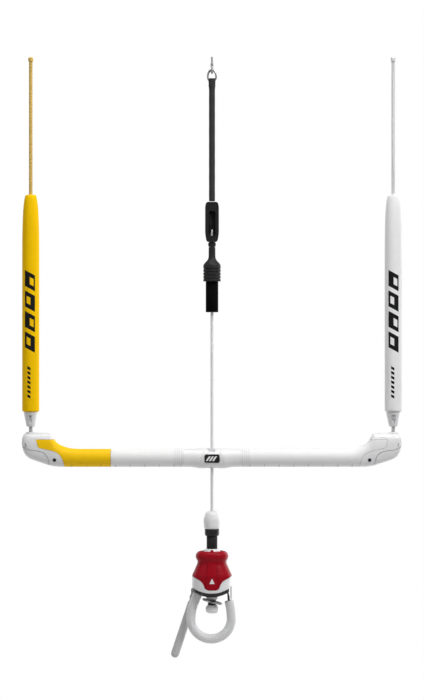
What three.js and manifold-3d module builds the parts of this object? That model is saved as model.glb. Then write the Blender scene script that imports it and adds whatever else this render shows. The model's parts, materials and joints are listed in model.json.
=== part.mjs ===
// Kitesurf control bar: bar, floats, leaders, depower line with trim cleat, quick release and loop.
// Millimetres, +Z up. The origin is the top of the centre line's loop, where the kite's line hitches on,
// and the whole bar hangs straight down from it. +X runs to the right bar end, -Y is the front.
import * as THREE from 'three';
import { mergeVertices } from 'three/addons/utils/BufferGeometryUtils.js';
import Module from 'manifold-3d';

const wasm = await Module();
wasm.setup();

// ---- Driving dimensions ----
const GAP = 0.3;                      // clearance between pieces that touch or slide

const BAR_LENGTH = 520;               // tip to tip
const BAR_AXIS_Z = -550;              // grip axis below the origin
const GRIP_RADIUS = 12.3;
const TUBE_RADIUS = 9.5;
const TUBE_WALL = 1.6;
const TIP_DEPTH = 13;                 // half thickness of a bar end, front to back
const CAP_TOP = 34.2;                 // end cap top above the grip axis
const COLOUR_SPLIT_X = -138.8;        // where the yellow grip meets the white one
const CENTRE_HALF = 39.5;             // half width of the centre shells
const CENTRE_DROP = 14.4;             // belly of the centre shells below the axis
const INSERT_HALF_X = 9.5;
const INSERT_HALF_Y = 6.2;
const BUSH_RADIUS = 4.9;
const TILT_DEG = 20;                  // bar tilt to each side on the line

const LINE_RADIUS = 2.05;             // depower line
const LEADER_RADIUS = 2.45;
const LEADER_INSET = 11.3;            // leader's distance in from the bar tip
const LEADER_TOP = -7;                // where a leader runs into its end knot
const KNOT_RADIUS = 4.5;
const FLOAT_TOP = -189.3;
const FLOAT_LENGTH = 297;
const FLOAT_RADIUS = 11.7;
const CONE_LENGTH = 20.5;
const CONE_TOP_RADIUS = 9.9;
const CONE_END_RADIUS = 5.8;

const HEAD_LINE_RADIUS = 1.45;
const RING_WIRE_RADIUS = 1.5;
const HITCH_SLACK = 1.1;              // play of the line's eye on the ring's wire
const RING_HALF_WIDTH = 5.6;
const RING_TOP = -17.6;               // centre of the head ring's top wire
const RING_BOTTOM = -34.2;            // centre of its bottom wire
const TRIM_LINE_RADIUS = 1.5;
const SLEEVE_RADIUS = 4.15;
const SLEEVE_TOP = -29.6;
const CLEAT_TOP = -198.1;
const CLEAT_LENGTH = 55.6;
const CLEAT_HALF_WIDTH = 9.4;
const CLEAT_HALF_DEPTH = 7;
const COVER_THICKNESS = 2.2;
const SLOT_HALF_WIDTH = 3.9;
const BEAD_LENGTH = 6.6;
const BEAD_RADIUS = 5.3;
const BOOT_LENGTH = 47;
const BOOT_RADIUS = 12;
const BOOT_NECK_RADIUS = 4.7;
const STOPPER_LENGTH = 42;
const STOPPER_RADIUS = 8.6;

const SWIVEL_TOP = -623.2;
const SWIVEL_RADIUS = 11.5;
const SWIVEL_LENGTH = 24;
const COLLAR_LENGTH = 9.8;
const COLLAR_RADIUS = 10;
const SWIVEL_TUBE_RADIUS = 7.4;
const HANDLE_TOP = -677.7;
const HANDLE_TRAVEL = 12;
const RELEASE_HALF_WIDTH = 27.2;
const RELEASE_HALF_DEPTH = 22.6;
const BARREL_RADIUS = 12;
const BASE_BOTTOM = -739.4;           // lowest point of the curved base
const BASE_CURVE_RADIUS = 50;
const BASE_BAND = 5;

const LOOP_TUBE_RADIUS = 6.4;
const LOOP_BEND_RADIUS = 27.6;
const LOOP_BOTTOM = -798.4;           // centreline of the loop's lowest point
const FINGER_RADIUS = 5.75;
const FINGER_LENGTH = 87;
const FINGER_LEAN_DEG = 18.4;
const FINGER_BACK = LOOP_TUBE_RADIUS + 7;   // how far the finger hangs behind the loop
const FINGER_X = -25.2;
const FINGER_Z = -743;
const KNOB_RADIUS = 8.9;
const LEASH_RING_RADIUS = 14;
const LEASH_RING_LEAN_DEG = 14.4;

const ROUND = 16;                     // facets round a turned piece
const FINE = 20;

const LEADER_PIVOT = CAP_TOP - 6;     // height of the leader's knot above the grip axis
const GROMMET_RADIUS = 7.2;

// ---- Finishes ----
const finish = (color, roughness, metalness = 0) =>
  new THREE.MeshStandardMaterial({ color, roughness, metalness });
const WHITE_SHELL = finish(0xdcdcdc, 0.5);
const GREY_SHELL = finish(0xc8c8c8, 0.55);
const WHITE_GRIP = finish(0xe4e4e4, 0.8);
const YELLOW_GRIP = finish(0xf2b900, 0.75);
const WHITE_FOAM = finish(0xe8e8e8, 0.85);
const YELLOW_FOAM = finish(0xf5c400, 0.8);
const WHITE_LINE = finish(0xd8d8d8, 0.7);
const YELLOW_LINE = finish(0xd4b050, 0.7);
const BLACK_RUBBER = finish(0x202020, 0.8);
const BLACK_PLASTIC = finish(0x1c1c1c, 0.6);
const BLACK_WEBBING = finish(0x262626, 0.9);
const RED_PLASTIC = finish(0xc02335, 0.5);
const STEEL = finish(0xb0b0b0, 0.25, 1);
const ALUMINIUM = finish(0xa8a8a8, 0.4, 1);

// ---- Solids ----
const bar = new THREE.Group();

function solid(geometry) {
  const bare = geometry.clone();
  bare.deleteAttribute('normal');
  bare.deleteAttribute('uv');
  const welded = mergeVertices(bare, 1e-4);
  return new wasm.Manifold(new wasm.Mesh({
    numProp: 3,
    vertProperties: new Float32Array(welded.attributes.position.array),
    triVerts: new Uint32Array(welded.index.array),
  }));
}

function add(name, shape, material) {
  const { vertProperties, triVerts } = shape.getMesh();
  const geometry = new THREE.BufferGeometry();
  geometry.setAttribute('position', new THREE.BufferAttribute(new Float32Array(vertProperties), 3));
  geometry.setIndex(new THREE.BufferAttribute(new Uint32Array(triVerts), 1));
  geometry.computeVertexNormals();
  const mesh = new THREE.Mesh(geometry, material);
  mesh.name = name;
  bar.add(mesh);
}

const joined = (shapes) => shapes.reduce((whole, shape) => whole.add(shape));

// A turned piece about Z, from [radius, z] points that run upwards and start and end on the axis.
function turned(points, segments = ROUND) {
  const outline = points.map(([radius, z]) => new THREE.Vector2(radius, z));
  return solid(new THREE.LatheGeometry(outline, segments).rotateX(Math.PI / 2));
}

// A round bar along Z between two heights.
const rod = (radius, low, high, segments = ROUND) =>
  turned([[0, low], [radius, low], [radius, high], [0, high]], segments);

// The same outline with a bore right through it.
const bored = (points, bore, segments = ROUND) =>
  turned(points, segments).subtract(rod(bore, points[0][1] - 1, points[points.length - 1][1] + 1, segments));

// A round bar along X or Y.
const rodX = (radius, from, to, segments = ROUND) =>
  solid(new THREE.CylinderGeometry(radius, radius, to - from, segments)
    .rotateZ(Math.PI / 2).translate((from + to) / 2, 0, 0));
const rodY = (radius, from, to, segments = ROUND) =>
  solid(new THREE.CylinderGeometry(radius, radius, to - from, segments).translate(0, (from + to) / 2, 0));

const block = (x0, x1, y0, y1, z0, z1) =>
  solid(new THREE.BoxGeometry(x1 - x0, y1 - y0, z1 - z0)
    .translate((x0 + x1) / 2, (y0 + y1) / 2, (z0 + z1) / 2));

const ball = (radius, z, segments = 14) =>
  solid(new THREE.SphereGeometry(radius, segments, segments / 2).rotateX(Math.PI / 2).translate(0, 0, z));

// A plate of an outline given in X and Z, between two depths.
function plate(outline, y0, y1) {
  const shape = new THREE.Shape(outline.map(([x, z]) => new THREE.Vector2(x, z)));
  const made = new THREE.ExtrudeGeometry(shape, { depth: y1 - y0, bevelEnabled: false, curveSegments: 8 });
  return solid(made.rotateX(Math.PI / 2).translate(0, y1, 0));
}

// A round tube along a list of points.
function tube(points, radius, sides, steps) {
  const path = points.length === 2
    ? new THREE.LineCurve3(...points)
    : new THREE.CatmullRomCurve3(points, false, 'centripetal');
  const section = new THREE.Shape();
  section.absarc(0, 0, radius, 0, 2 * Math.PI);
  return solid(new THREE.ExtrudeGeometry(section, {
    extrudePath: path, steps, curveSegments: sides / 2, bevelEnabled: false,
  }));
}

const at = (x, y, z) => new THREE.Vector3(x, y, z);

// A body lofted along X or Z through rounded sections. Each station is [place, centreA, halfA, halfB, power]:
// along X, A is Z and B is Y; along Z, A is X and B is Y. Power 2 is an ellipse and more is squarer.
// The stations run from the highest place down.
function lofted(stations, along, segments = FINE) {
  const rows = stations.length - 1;
  const geometry = new THREE.CylinderGeometry(1, 1, 1, segments, rows);
  const position = geometry.attributes.position;
  for (let i = 0; i < position.count; i += 1) {
    const row = Math.round((0.5 - position.getY(i)) * rows);
    const [place, centre, halfA, halfB, power] = stations[row];
    const squared = (value) => Math.sign(value) * Math.abs(value) ** (2 / power);
    const a = centre + halfA * squared(position.getX(i));
    const b = halfB * squared(position.getZ(i));
    if (along === 'x') position.setXYZ(i, place, b, a);
    else position.setXYZ(i, a, -b, place);
  }
  return solid(geometry);
}

// An outline's plate made bigger all round by a small gap, for cutting the piece beside it.
function grown(cutter, gap) {
  return joined([[gap, 0], [-gap, 0], [0, gap], [0, -gap]].map(([x, z]) => cutter.translate([x, 0, z])));
}

// ---- Head: the kite line's loop hitched to a steel ring, and the trim line under its sleeve ----
function headRing() {
  const span = RING_TOP - RING_BOTTOM;
  const start = 4;
  const geometry = new THREE.TorusGeometry(start, RING_WIRE_RADIUS, 8, 22).rotateX(Math.PI / 2);
  const position = geometry.attributes.position;
  const middle = (RING_TOP + RING_BOTTOM) / 2;
  for (let i = 0; i < position.count; i += 1) {
    const x = position.getX(i);
    const z = position.getZ(i);
    const reach = Math.hypot(x, z);
    const height = z / reach;
    const width = RING_HALF_WIDTH * (1 - 0.12 * height);
    position.setX(i, x + (x / reach) * (width - start));
    position.setZ(i, z + height * (span / 2 - start) + middle);
  }
  add('head_ring', solid(geometry), STEEL);
}

function frontLineLoop() {
  const eyeRadius = RING_WIRE_RADIUS + HEAD_LINE_RADIUS + HITCH_SLACK;
  const eye = solid(new THREE.TorusGeometry(eyeRadius, HEAD_LINE_RADIUS, 8, 18).rotateY(Math.PI / 2))
    .translate([0, 0, RING_TOP]);
  const whipping = rod(HEAD_LINE_RADIUS * 1.35, RING_TOP + eyeRadius, RING_TOP + eyeRadius + 5, 12);
  const line = rod(HEAD_LINE_RADIUS, RING_TOP + eyeRadius + 2, 0, 12);
  add('front_line_loop', joined([eye, whipping, line]), GREY_SHELL);
}

function trimLine() {
  const strand = TRIM_LINE_RADIUS + 0.1;
  const seat = RING_BOTTOM;
  const wrap = RING_WIRE_RADIUS + TRIM_LINE_RADIUS + GAP;
  const foot = CLEAT_TOP + GAP;
  const front = [at(0, -wrap, seat), at(0, -wrap + 0.7, seat - 5), at(0, -strand, seat - 10), at(0, -strand, foot)];
  const back = front.map((point) => at(0, -point.y, point.z));
  const bow = solid(new THREE.TorusGeometry(wrap, TRIM_LINE_RADIUS, 8, 20).rotateY(Math.PI / 2))
    .translate([0, 0, seat]).intersect(block(-5, 5, -9, 9, seat, seat + 9));
  const legs = [front, back].map((points) => tube(points, TRIM_LINE_RADIUS, 8, 12));
  add('trim_line', joined([bow, ...legs]), BLACK_WEBBING);
}

function trimSleeve() {
  const inner = SLEEVE_RADIUS - 0.75;
  const ringSlot = block(-9, 9, -2.1, 2.1, RING_BOTTOM - 2.1, SLEEVE_TOP + 1);
  const sleeve = bored([
    [0, CLEAT_TOP + GAP], [SLEEVE_RADIUS, CLEAT_TOP + GAP], [SLEEVE_RADIUS, -160], [SLEEVE_RADIUS, -120],
    [SLEEVE_RADIUS, -80], [SLEEVE_RADIUS, RING_BOTTOM - 10], [SLEEVE_RADIUS + 1.1, RING_BOTTOM - 4],
    [SLEEVE_RADIUS + 1.1, SLEEVE_TOP], [0, SLEEVE_TOP],
  ], inner);
  const throat = turned([[0, RING_BOTTOM - 11], [inner, RING_BOTTOM - 11], [inner + 1.65, RING_BOTTOM - 5],
    [inner + 1.65, SLEEVE_TOP + 1], [0, SLEEVE_TOP + 1]]);
  add('trim_sleeve', sleeve.subtract(throat).subtract(ringSlot), BLACK_WEBBING);
}

// ---- Cleat: the line is jammed in a toothed jaw seen through a slot ----
const CLEAT_BOTTOM = CLEAT_TOP - CLEAT_LENGTH;
const SLOT_TOP = CLEAT_TOP - 13.5;
const SLOT_BOTTOM = CLEAT_BOTTOM + 8;

function slotOutline(halfWidth, low, high) {
  const corner = halfWidth * 0.45;
  return [[-halfWidth, low + corner], [-halfWidth + corner, low], [halfWidth - corner, low],
    [halfWidth, low + corner], [halfWidth, high - corner], [halfWidth - corner, high],
    [-halfWidth + corner, high], [-halfWidth, high - corner]];
}

function cleatOutline(shrink) {
  const half = CLEAT_HALF_WIDTH - shrink;
  const end = 5.6;
  return [[-half, CLEAT_BOTTOM + 11], [-half + 1.9, CLEAT_BOTTOM + shrink], [half - 1.9, CLEAT_BOTTOM + shrink],
    [half, CLEAT_BOTTOM + 11], [half, CLEAT_TOP - 7], [half - 1.6, CLEAT_TOP - shrink - 1],
    [end - 0.4, CLEAT_TOP - shrink], [-end + 0.4, CLEAT_TOP - shrink], [-half + 1.6, CLEAT_TOP - shrink - 1],
    [-half, CLEAT_TOP - 7]];
}

function cleat() {
  const coverFront = CLEAT_HALF_DEPTH - COVER_THICKNESS;
  const slot = plate(slotOutline(SLOT_HALF_WIDTH, SLOT_BOTTOM, SLOT_TOP), -12, 12);
  const lineBore = rod(LINE_RADIUS + GAP, CLEAT_BOTTOM - 1, SLOT_BOTTOM + 1, 12);
  const pinHoles = [CLEAT_TOP - 7, CLEAT_BOTTOM + 4.4].map((z) => rodY(1.6 + GAP, -12, 12, 12)
    .translate([SLOT_HALF_WIDTH + 1.2, 0, z]));
  const lips = plate(cleatOutline(1.4), -CLEAT_HALF_DEPTH, -CLEAT_HALF_DEPTH + 2);
  const moulding = plate(cleatOutline(0), -CLEAT_HALF_DEPTH + 1.2, coverFront);
  const body = moulding.add(lips).subtract(slot).subtract(lineBore).subtract(joined(pinHoles));
  add('cleat_body', body, BLACK_PLASTIC);

  const cover = plate(cleatOutline(0.8), coverFront + GAP, CLEAT_HALF_DEPTH).subtract(joined(pinHoles))
    .subtract(slot);
  add('cleat_cover', cover, BLACK_PLASTIC);

  [['upper', CLEAT_TOP - 7], ['lower', CLEAT_BOTTOM + 4.4]].forEach(([place, z]) => {
    const pin = rodY(1.6, -CLEAT_HALF_DEPTH + 0.4, CLEAT_HALF_DEPTH - 0.4, 12);
    add(`cleat_pin_${place}`, pin.translate([SLOT_HALF_WIDTH + 1.2, 0, z]), STEEL);
  });

  const teeth = [];
  const pitch = 2.6;
  for (let z = SLOT_TOP - 4; z > SLOT_TOP - 17; z -= pitch) {
    teeth.push([-SLOT_HALF_WIDTH + 2.1, z]);
    teeth.push([-SLOT_HALF_WIDTH + 1.1, z - pitch * 0.8]);
  }
  const back = -SLOT_HALF_WIDTH + GAP;
  const jaw = plate([[back, SLOT_TOP - 3], ...teeth, [back, SLOT_TOP - 19]].reverse(),
    -4, 4);
  add('cleat_jaw', jaw, ALUMINIUM);
}

// ---- Centre line below the cleat ----
const BEAD_TOP = CLEAT_BOTTOM - GAP;
const BOOT_TOP = BEAD_TOP - BEAD_LENGTH - GAP;
const BOOT_BOTTOM = BOOT_TOP - BOOT_LENGTH;
const STOPPER_TOP = BOOT_BOTTOM - GAP;
const STOPPER_BOTTOM = STOPPER_TOP - STOPPER_LENGTH;
const LINE_BORE = LINE_RADIUS + GAP;

function centreLine() {
  const beadMiddle = BEAD_TOP - BEAD_LENGTH / 2;
  add('neck_bead', bored([
    [0, BEAD_TOP - BEAD_LENGTH], [BEAD_RADIUS - 1.4, BEAD_TOP - BEAD_LENGTH], [BEAD_RADIUS, beadMiddle - 1.2],
    [BEAD_RADIUS, beadMiddle + 1.2], [BEAD_RADIUS - 1.4, BEAD_TOP], [0, BEAD_TOP],
  ], LINE_BORE), BLACK_RUBBER);

  const ribs = [];
  const ribPitch = 4.4;
  const ribbed = BOOT_BOTTOM + 4 * ribPitch;
  for (let z = BOOT_BOTTOM; z < ribbed - 1; z += ribPitch) {
    ribs.push([BOOT_RADIUS, z], [BOOT_RADIUS, z + 3.1], [BOOT_RADIUS - 0.9, z + 3.4], [BOOT_RADIUS - 0.9, z + 4.1]);
  }
  add('trim_boot', bored([
    [0, BOOT_BOTTOM], ...ribs, [BOOT_RADIUS, ribbed], [BOOT_RADIUS, ribbed + 4], [BOOT_RADIUS - 1.6, ribbed + 7],
    [BOOT_NECK_RADIUS + 1.6, ribbed + 11], [BOOT_NECK_RADIUS, ribbed + 15.5],
    [BOOT_NECK_RADIUS - 0.2, BOOT_TOP], [0, BOOT_TOP],
  ], LINE_BORE), BLACK_RUBBER);

  const top = SLOT_BOTTOM + 9;
  const foot = SWIVEL_TOP - 13;
  add('depower_line', tube([at(0, 0, foot), at(0, 0, top)], LINE_RADIUS, 8, 16), WHITE_LINE);

  const sleeveBore = STOPPER_RADIUS - 1.9;
  add('stopper_sleeve', bored([
    [0, STOPPER_BOTTOM], [STOPPER_RADIUS - 0.5, STOPPER_BOTTOM], [STOPPER_RADIUS, STOPPER_BOTTOM + 0.5],
    [STOPPER_RADIUS, STOPPER_TOP - 0.5], [STOPPER_RADIUS - 0.5, STOPPER_TOP], [0, STOPPER_TOP],
  ], sleeveBore), BLACK_RUBBER);
  add('stopper_insert', bored([
    [0, STOPPER_BOTTOM + 2], [sleeveBore - GAP, STOPPER_BOTTOM + 2], [sleeveBore - GAP, STOPPER_TOP - 2],
    [0, STOPPER_TOP - 2],
  ], LINE_BORE), BLACK_PLASTIC);
}

// ---- Bar centre: a bush on the line in a funnelled insert, inside two shells on the bar tube ----
function stadium(halfX, halfY, low, high) {
  const straight = halfX - halfY;
  const ends = [-straight, straight].map((x) => rod(halfY, low, high, 16).translate([x, 0, 0]));
  return joined([...ends, block(-straight, straight, -halfY, halfY, low, high)]);
}

function centreBody() {
  const full = GRIP_RADIUS;
  const sections = [[39.5, full, full], [30, full, full], [23, full + 0.6, 13.2], [17, full + 1.4, 14.2],
    [9, full + 1.5, CENTRE_DROP]];
  const scaled = sections.map(([x, depth, drop]) => {
    const top = full + (depth - full) * 0.35;
    return [x * CENTRE_HALF / 39.5, (top - drop) / 2, (top + drop) / 2, depth, 2.1];
  });
  const left = scaled.map(([x, ...rest]) => [-x, ...rest]);
  return lofted([...left, ...scaled.reverse()].reverse(), 'x', 26);
}

function barCentre() {
  const tubeHole = rodX(TUBE_RADIUS + GAP, -CENTRE_HALF - 1, CENTRE_HALF + 1);
  const insertHole = stadium(INSERT_HALF_X + GAP, INSERT_HALF_Y + GAP, -30, 30);
  const badgeSeat = block(-11, 11, -20, -GRIP_RADIUS - 0.2, -6.9, 5.9);
  const screwHoles = [-25, 25].map((x) => rodY(2.4 + GAP, 0, 20, 12).translate([x, 0, 0])
    .subtract(block(-40, 40, -1, TUBE_RADIUS + 1.5, -20, 20)));
  const body = centreBody().subtract(tubeHole).subtract(insertHole).subtract(badgeSeat)
    .subtract(joined(screwHoles));
  const frontHalf = block(-60, 60, -30, -GAP / 2, -30, 30);
  const backHalf = block(-60, 60, GAP / 2, 30, -30, 30);
  const lift = [0, 0, BAR_AXIS_Z];
  add('centre_shell_front', body.intersect(frontHalf).translate(lift), WHITE_SHELL);
  add('centre_shell_back', body.intersect(backHalf).translate(lift), WHITE_SHELL);
  [['left', -25], ['right', 25]].forEach(([side, x]) => {
    const screw = rodY(2.4, TUBE_RADIUS + 1.5 + GAP, GRIP_RADIUS + 0.2, 12)
      .subtract(block(-0.5, 0.5, GRIP_RADIUS - 0.6, 20, -1.6, 1.6));
    add(`centre_screw_${side}`, screw.translate([x, 0, BAR_AXIS_Z]), STEEL);
  });

  const badge = plate([[-10.1, -5], [-9, -6.2], [9, -6.2], [10.1, -5], [10.1, 4], [9, 5.2], [-9, 5.2],
    [-10.1, 4]], -GRIP_RADIUS - 2.1, -GRIP_RADIUS - 0.2 - GAP);
  add('badge_plate', badge.translate(lift), BLACK_PLASTIC);

  const tilt = THREE.MathUtils.degToRad(TILT_DEG);
  const wayAt = (height) => height * Math.tan(tilt) + LINE_RADIUS / Math.cos(tilt) + 2 * GAP;
  const funnel = lofted([[16, 0, wayAt(16), 3.6, 2.4], [3, 0, wayAt(3), 3.1, 2.4], [-3, 0, wayAt(3), 3.1, 2.4],
    [-16, 0, wayAt(16), 3.6, 2.4]], 'z', 16);
  const insert = stadium(INSERT_HALF_X, INSERT_HALF_Y, -CENTRE_DROP + 0.8, GRIP_RADIUS + 0.3)
    .subtract(funnel).subtract(ball(BUSH_RADIUS + GAP, 0, 20));
  add('line_insert', insert.translate(lift), GREY_SHELL);

  const bush = ball(BUSH_RADIUS, 0, 20).intersect(block(-9, 9, -9, 9, -3.6, 3.6))
    .subtract(rod(LINE_BORE, -9, 9, 12));
  add('line_bush', bush.translate(lift), ALUMINIUM);
}

// ---- Bar tube and grips ----
const HALF_LENGTH = BAR_LENGTH / 2;
const NECK_END = 80;                  // where the neck's curve has run out into the straight bar
const SPIGOT_FROM = 50;
const SPIGOT_RADIUS = TUBE_RADIUS - TUBE_WALL - GAP;
const TUBE_END = 62;                  // tube's end, in from the tip

// Distance in from the tip, top and bottom above the axis, half depth and squareness.
const END_STATIONS = [
  [0, 28, 14, 7, 2.4], [0.8, 30.4, 11.2, 8.8, 2.5], [2.6, 32.6, 6.6, 10.6, 2.6], [6, 34, 2.2, 12, 2.8],
  [12, CAP_TOP, -1.7, 12.8, 2.9], [20, CAP_TOP, -4.6, TIP_DEPTH, 2.9], [30, CAP_TOP, -8, TIP_DEPTH, 2.9],
  [37, 33.7, -10.1, TIP_DEPTH, 2.8], [40, 31.8, -10.8, 12.9, 2.7], [42.5, 27.4, -11.3, 12.8, 2.6],
  [45, 23.4, -11.7, 12.7, 2.5], [48.5, 19.9, -12, 12.6, 2.4], [53, 17.3, -12.2, 12.5, 2.2],
  [59, 15, -GRIP_RADIUS, 12.4, 2.1], [67, 13, -GRIP_RADIUS, GRIP_RADIUS, 2],
  [NECK_END, GRIP_RADIUS, -GRIP_RADIUS, GRIP_RADIUS, 2],
];

const GRIP_EDGE = [[19.1, 25.4], [43.6, 25.4], [43.6, 60], [300, 60], [300, -60], [58.4, -60],
  [57.9, -10.5], [56.2, -3.6], [52.7, 3.2], [49.5, 6.6], [45, 9], [38, 11], [31.5, 12.3], [22.9, 14.3]];
const BUMPER_EDGE = [[-9, 18], [1.6, 15.2], [9.3, 11.4], [17, 10.2], [24.8, 8.9], [31.6, 5.6], [35.4, -1.1],
  [37.3, -8.8], [38.8, -60], [-9, -60]];

function endBody(reach) {
  const stations = [...END_STATIONS, [reach, GRIP_RADIUS, -GRIP_RADIUS, GRIP_RADIUS, 2]];
  return lofted(stations.map(([inset, top, bottom, depth, power]) =>
    [inset, (top + bottom) / 2, (top - bottom) / 2, depth, power]).reverse(), 'x');
}

// Pieces of a bar end are made with the tip at X = 0 and the bar running to +X, then put in place.
function barEnd(side, reach, gripName, gripMaterial, shellMaterial) {
  const body = endBody(reach);
  const gripCut = plate(GRIP_EDGE, -30, 30);
  const bumperCut = plate(BUMPER_EDGE, -30, 30);
  const spigot = rodX(SPIGOT_RADIUS, SPIGOT_FROM, TUBE_END + 14);
  const spigotClear = rodX(SPIGOT_RADIUS + GAP, SPIGOT_FROM - 8, TUBE_END + 1);
  const tubeClear = rodX(TUBE_RADIUS + GAP, TUBE_END - GAP, reach + 1);
  const pivot = [LEADER_INSET, 0, LEADER_PIVOT];
  const slope = Math.tan(THREE.MathUtils.degToRad(TILT_DEG));
  const mouth = LEADER_RADIUS + GAP + slope * 14;
  const lineWay = turned([[0, 0], [LEADER_RADIUS + GAP + 0.8, 0], [mouth, 14], [0, 14]], 16);
  const knotRoom = ball(KNOT_RADIUS + 0.6, 0, 16).add(rod(KNOT_RADIUS + 0.6, -9, 0, 16));
  const grommetSeat = rod(GROMMET_RADIUS + GAP, 0, 14, 20).translate([0, 0, CAP_TOP - LEADER_PIVOT - 2.6]);
  const holes = joined([lineWay, knotRoom, grommetSeat]).translate(pivot);
  const screwAt = [44.5, 0, -2.6];
  const screwHole = rodY(2.2 + GAP, -30, -TIP_DEPTH + 3.6, 14).translate(screwAt);

  const cap = body.subtract(grown(gripCut, GAP)).subtract(grown(bumperCut, GAP)).add(
    spigot.subtract(grown(bumperCut, GAP))).subtract(holes).subtract(screwHole);
  const bumper = body.intersect(bumperCut).subtract(holes);
  const grip = body.intersect(gripCut).subtract(spigotClear).subtract(tubeClear);
  const screw = rodY(2.2, -TIP_DEPTH + 0.9, -TIP_DEPTH + 3.4, 14)
    .subtract(rodY(1.1, -20, -TIP_DEPTH + 2.1, 6)).translate(screwAt);
  const grommet = turned([[0, CAP_TOP - 2.2], [GROMMET_RADIUS, CAP_TOP - 2.2], [GROMMET_RADIUS, CAP_TOP + 0.3],
    [GROMMET_RADIUS - 1, CAP_TOP + 0.9], [0, CAP_TOP + 0.9]], 20).translate([LEADER_INSET, 0, 0])
    .subtract(lineWay.translate(pivot));

  const put = (shape) => {
    const inPlace = shape.translate([-HALF_LENGTH, 0, BAR_AXIS_Z]);
    return side === 'left' ? inPlace : inPlace.mirror([1, 0, 0]);
  };
  // A mirrored bar end keeps its screw on the front, so only X is turned round.
  add(`end_cap_${side}`, put(cap), shellMaterial);
  add(`end_bumper_${side}`, put(bumper), shellMaterial);
  add(gripName, put(grip), gripMaterial);
  add(`end_screw_${side}`, put(screw), STEEL);
  add(`line_grommet_${side}`, put(grommet), GREY_SHELL);
}

function barBody() {
  const half = HALF_LENGTH - TUBE_END - 2 * GAP;
  const hollow = rodX(TUBE_RADIUS - TUBE_WALL, -half - 1, half + 1);
  const lineSlot = stadium(INSERT_HALF_X + GAP, INSERT_HALF_Y + GAP, -30, 30);
  const tubeShape = rodX(TUBE_RADIUS, -half, half).subtract(hollow).subtract(lineSlot);
  add('bar_tube', tubeShape.translate([0, 0, BAR_AXIS_Z]), ALUMINIUM);

  const inner = rodX(GRIP_RADIUS, COLOUR_SPLIT_X + GAP, -CENTRE_HALF - GAP, FINE)
    .subtract(rodX(TUBE_RADIUS + GAP, -300, 300));
  add('grip_white_left', inner.translate([0, 0, BAR_AXIS_Z]), WHITE_GRIP);
  barEnd('left', HALF_LENGTH + COLOUR_SPLIT_X, 'grip_yellow_left', YELLOW_GRIP, GREY_SHELL);
  barEnd('right', HALF_LENGTH - CENTRE_HALF - GAP, 'grip_white_right', WHITE_GRIP, WHITE_SHELL);
}

// ---- Leaders: each starts at a knot in the bar end and carries a float on a cone ----
function leader(side, sign, lineMaterial, foamMaterial) {
  const x = sign * (HALF_LENGTH - LEADER_INSET);
  const pivot = BAR_AXIS_Z + LEADER_PIVOT;
  const coneTop = FLOAT_TOP - FLOAT_LENGTH - GAP;
  const coneEnd = coneTop - CONE_LENGTH;
  const bore = LEADER_RADIUS + GAP;
  const shift = [x, 0, 0];
  const stopMiddle = coneEnd + 2.6;
  const stopRadius = 3.5;
  const line = tube([at(x, 0, pivot), at(x, 0, LEADER_TOP)], LEADER_RADIUS, 8, 18);
  const knots = ball(KNOT_RADIUS, pivot, 14).add(ball(stopRadius, stopMiddle, 12)).translate(shift);
  add(`leader_line_${side}`, line.add(knots), lineMaterial);
  const tip = LEADER_TOP + GAP;
  add(`leader_end_${side}`, turned([[0, tip], [3, tip], [3.7, tip + 1.5], [3.7, -1.5], [2.6, 0], [0, 0]], 12)
    .translate(shift), lineMaterial);

  const foot = FLOAT_TOP - FLOAT_LENGTH;
  const fraction = FLOAT_RADIUS / 11.7;
  const profile = [[11.2, foot], [11.7, foot + 1.2], [11.7, FLOAT_TOP - 76], [11.5, FLOAT_TOP - 52],
    [11.1, FLOAT_TOP - 36], [10.4, FLOAT_TOP - 21], [9.2, FLOAT_TOP - 9], [7.6, FLOAT_TOP - 1], [6.4, FLOAT_TOP]];
  add(`float_${side}`, bored([[0, foot], ...profile.map(([radius, z]) => [radius * fraction, z]),
    [0, FLOAT_TOP]], bore, 20).translate(shift), foamMaterial);

  const window = plate([[-3.4, coneEnd + 6], [3.4, coneEnd + 6], [4.6, coneTop - 3.6], [-4.6, coneTop - 3.6]],
    -12, -LEADER_RADIUS - 1);
  const knotRoom = rod(stopRadius + GAP, coneEnd - 1, stopMiddle + 1, 12)
    .add(ball(stopRadius + GAP, stopMiddle, 12));
  const cone = bored([[0, coneEnd], [CONE_END_RADIUS, coneEnd], [CONE_END_RADIUS + 0.4, coneEnd + 2],
    [CONE_TOP_RADIUS - 0.3, coneTop - 1], [CONE_TOP_RADIUS - 0.3, coneTop], [0, coneTop]], bore, 20)
    .subtract(window).subtract(knotRoom);
  add(`float_cone_${side}`, cone.translate(shift), GREY_SHELL);
}

// ---- Swivel on the depower line's end ----
const SWIVEL_FOOT = SWIVEL_TOP - SWIVEL_LENGTH;
const COLLAR_TOP = SWIVEL_FOOT - GAP;
const COLLAR_FOOT = COLLAR_TOP - COLLAR_LENGTH;
const STEM_RADIUS = 3.4;
const STEM_FOOT = BASE_BOTTOM + 14;

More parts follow.
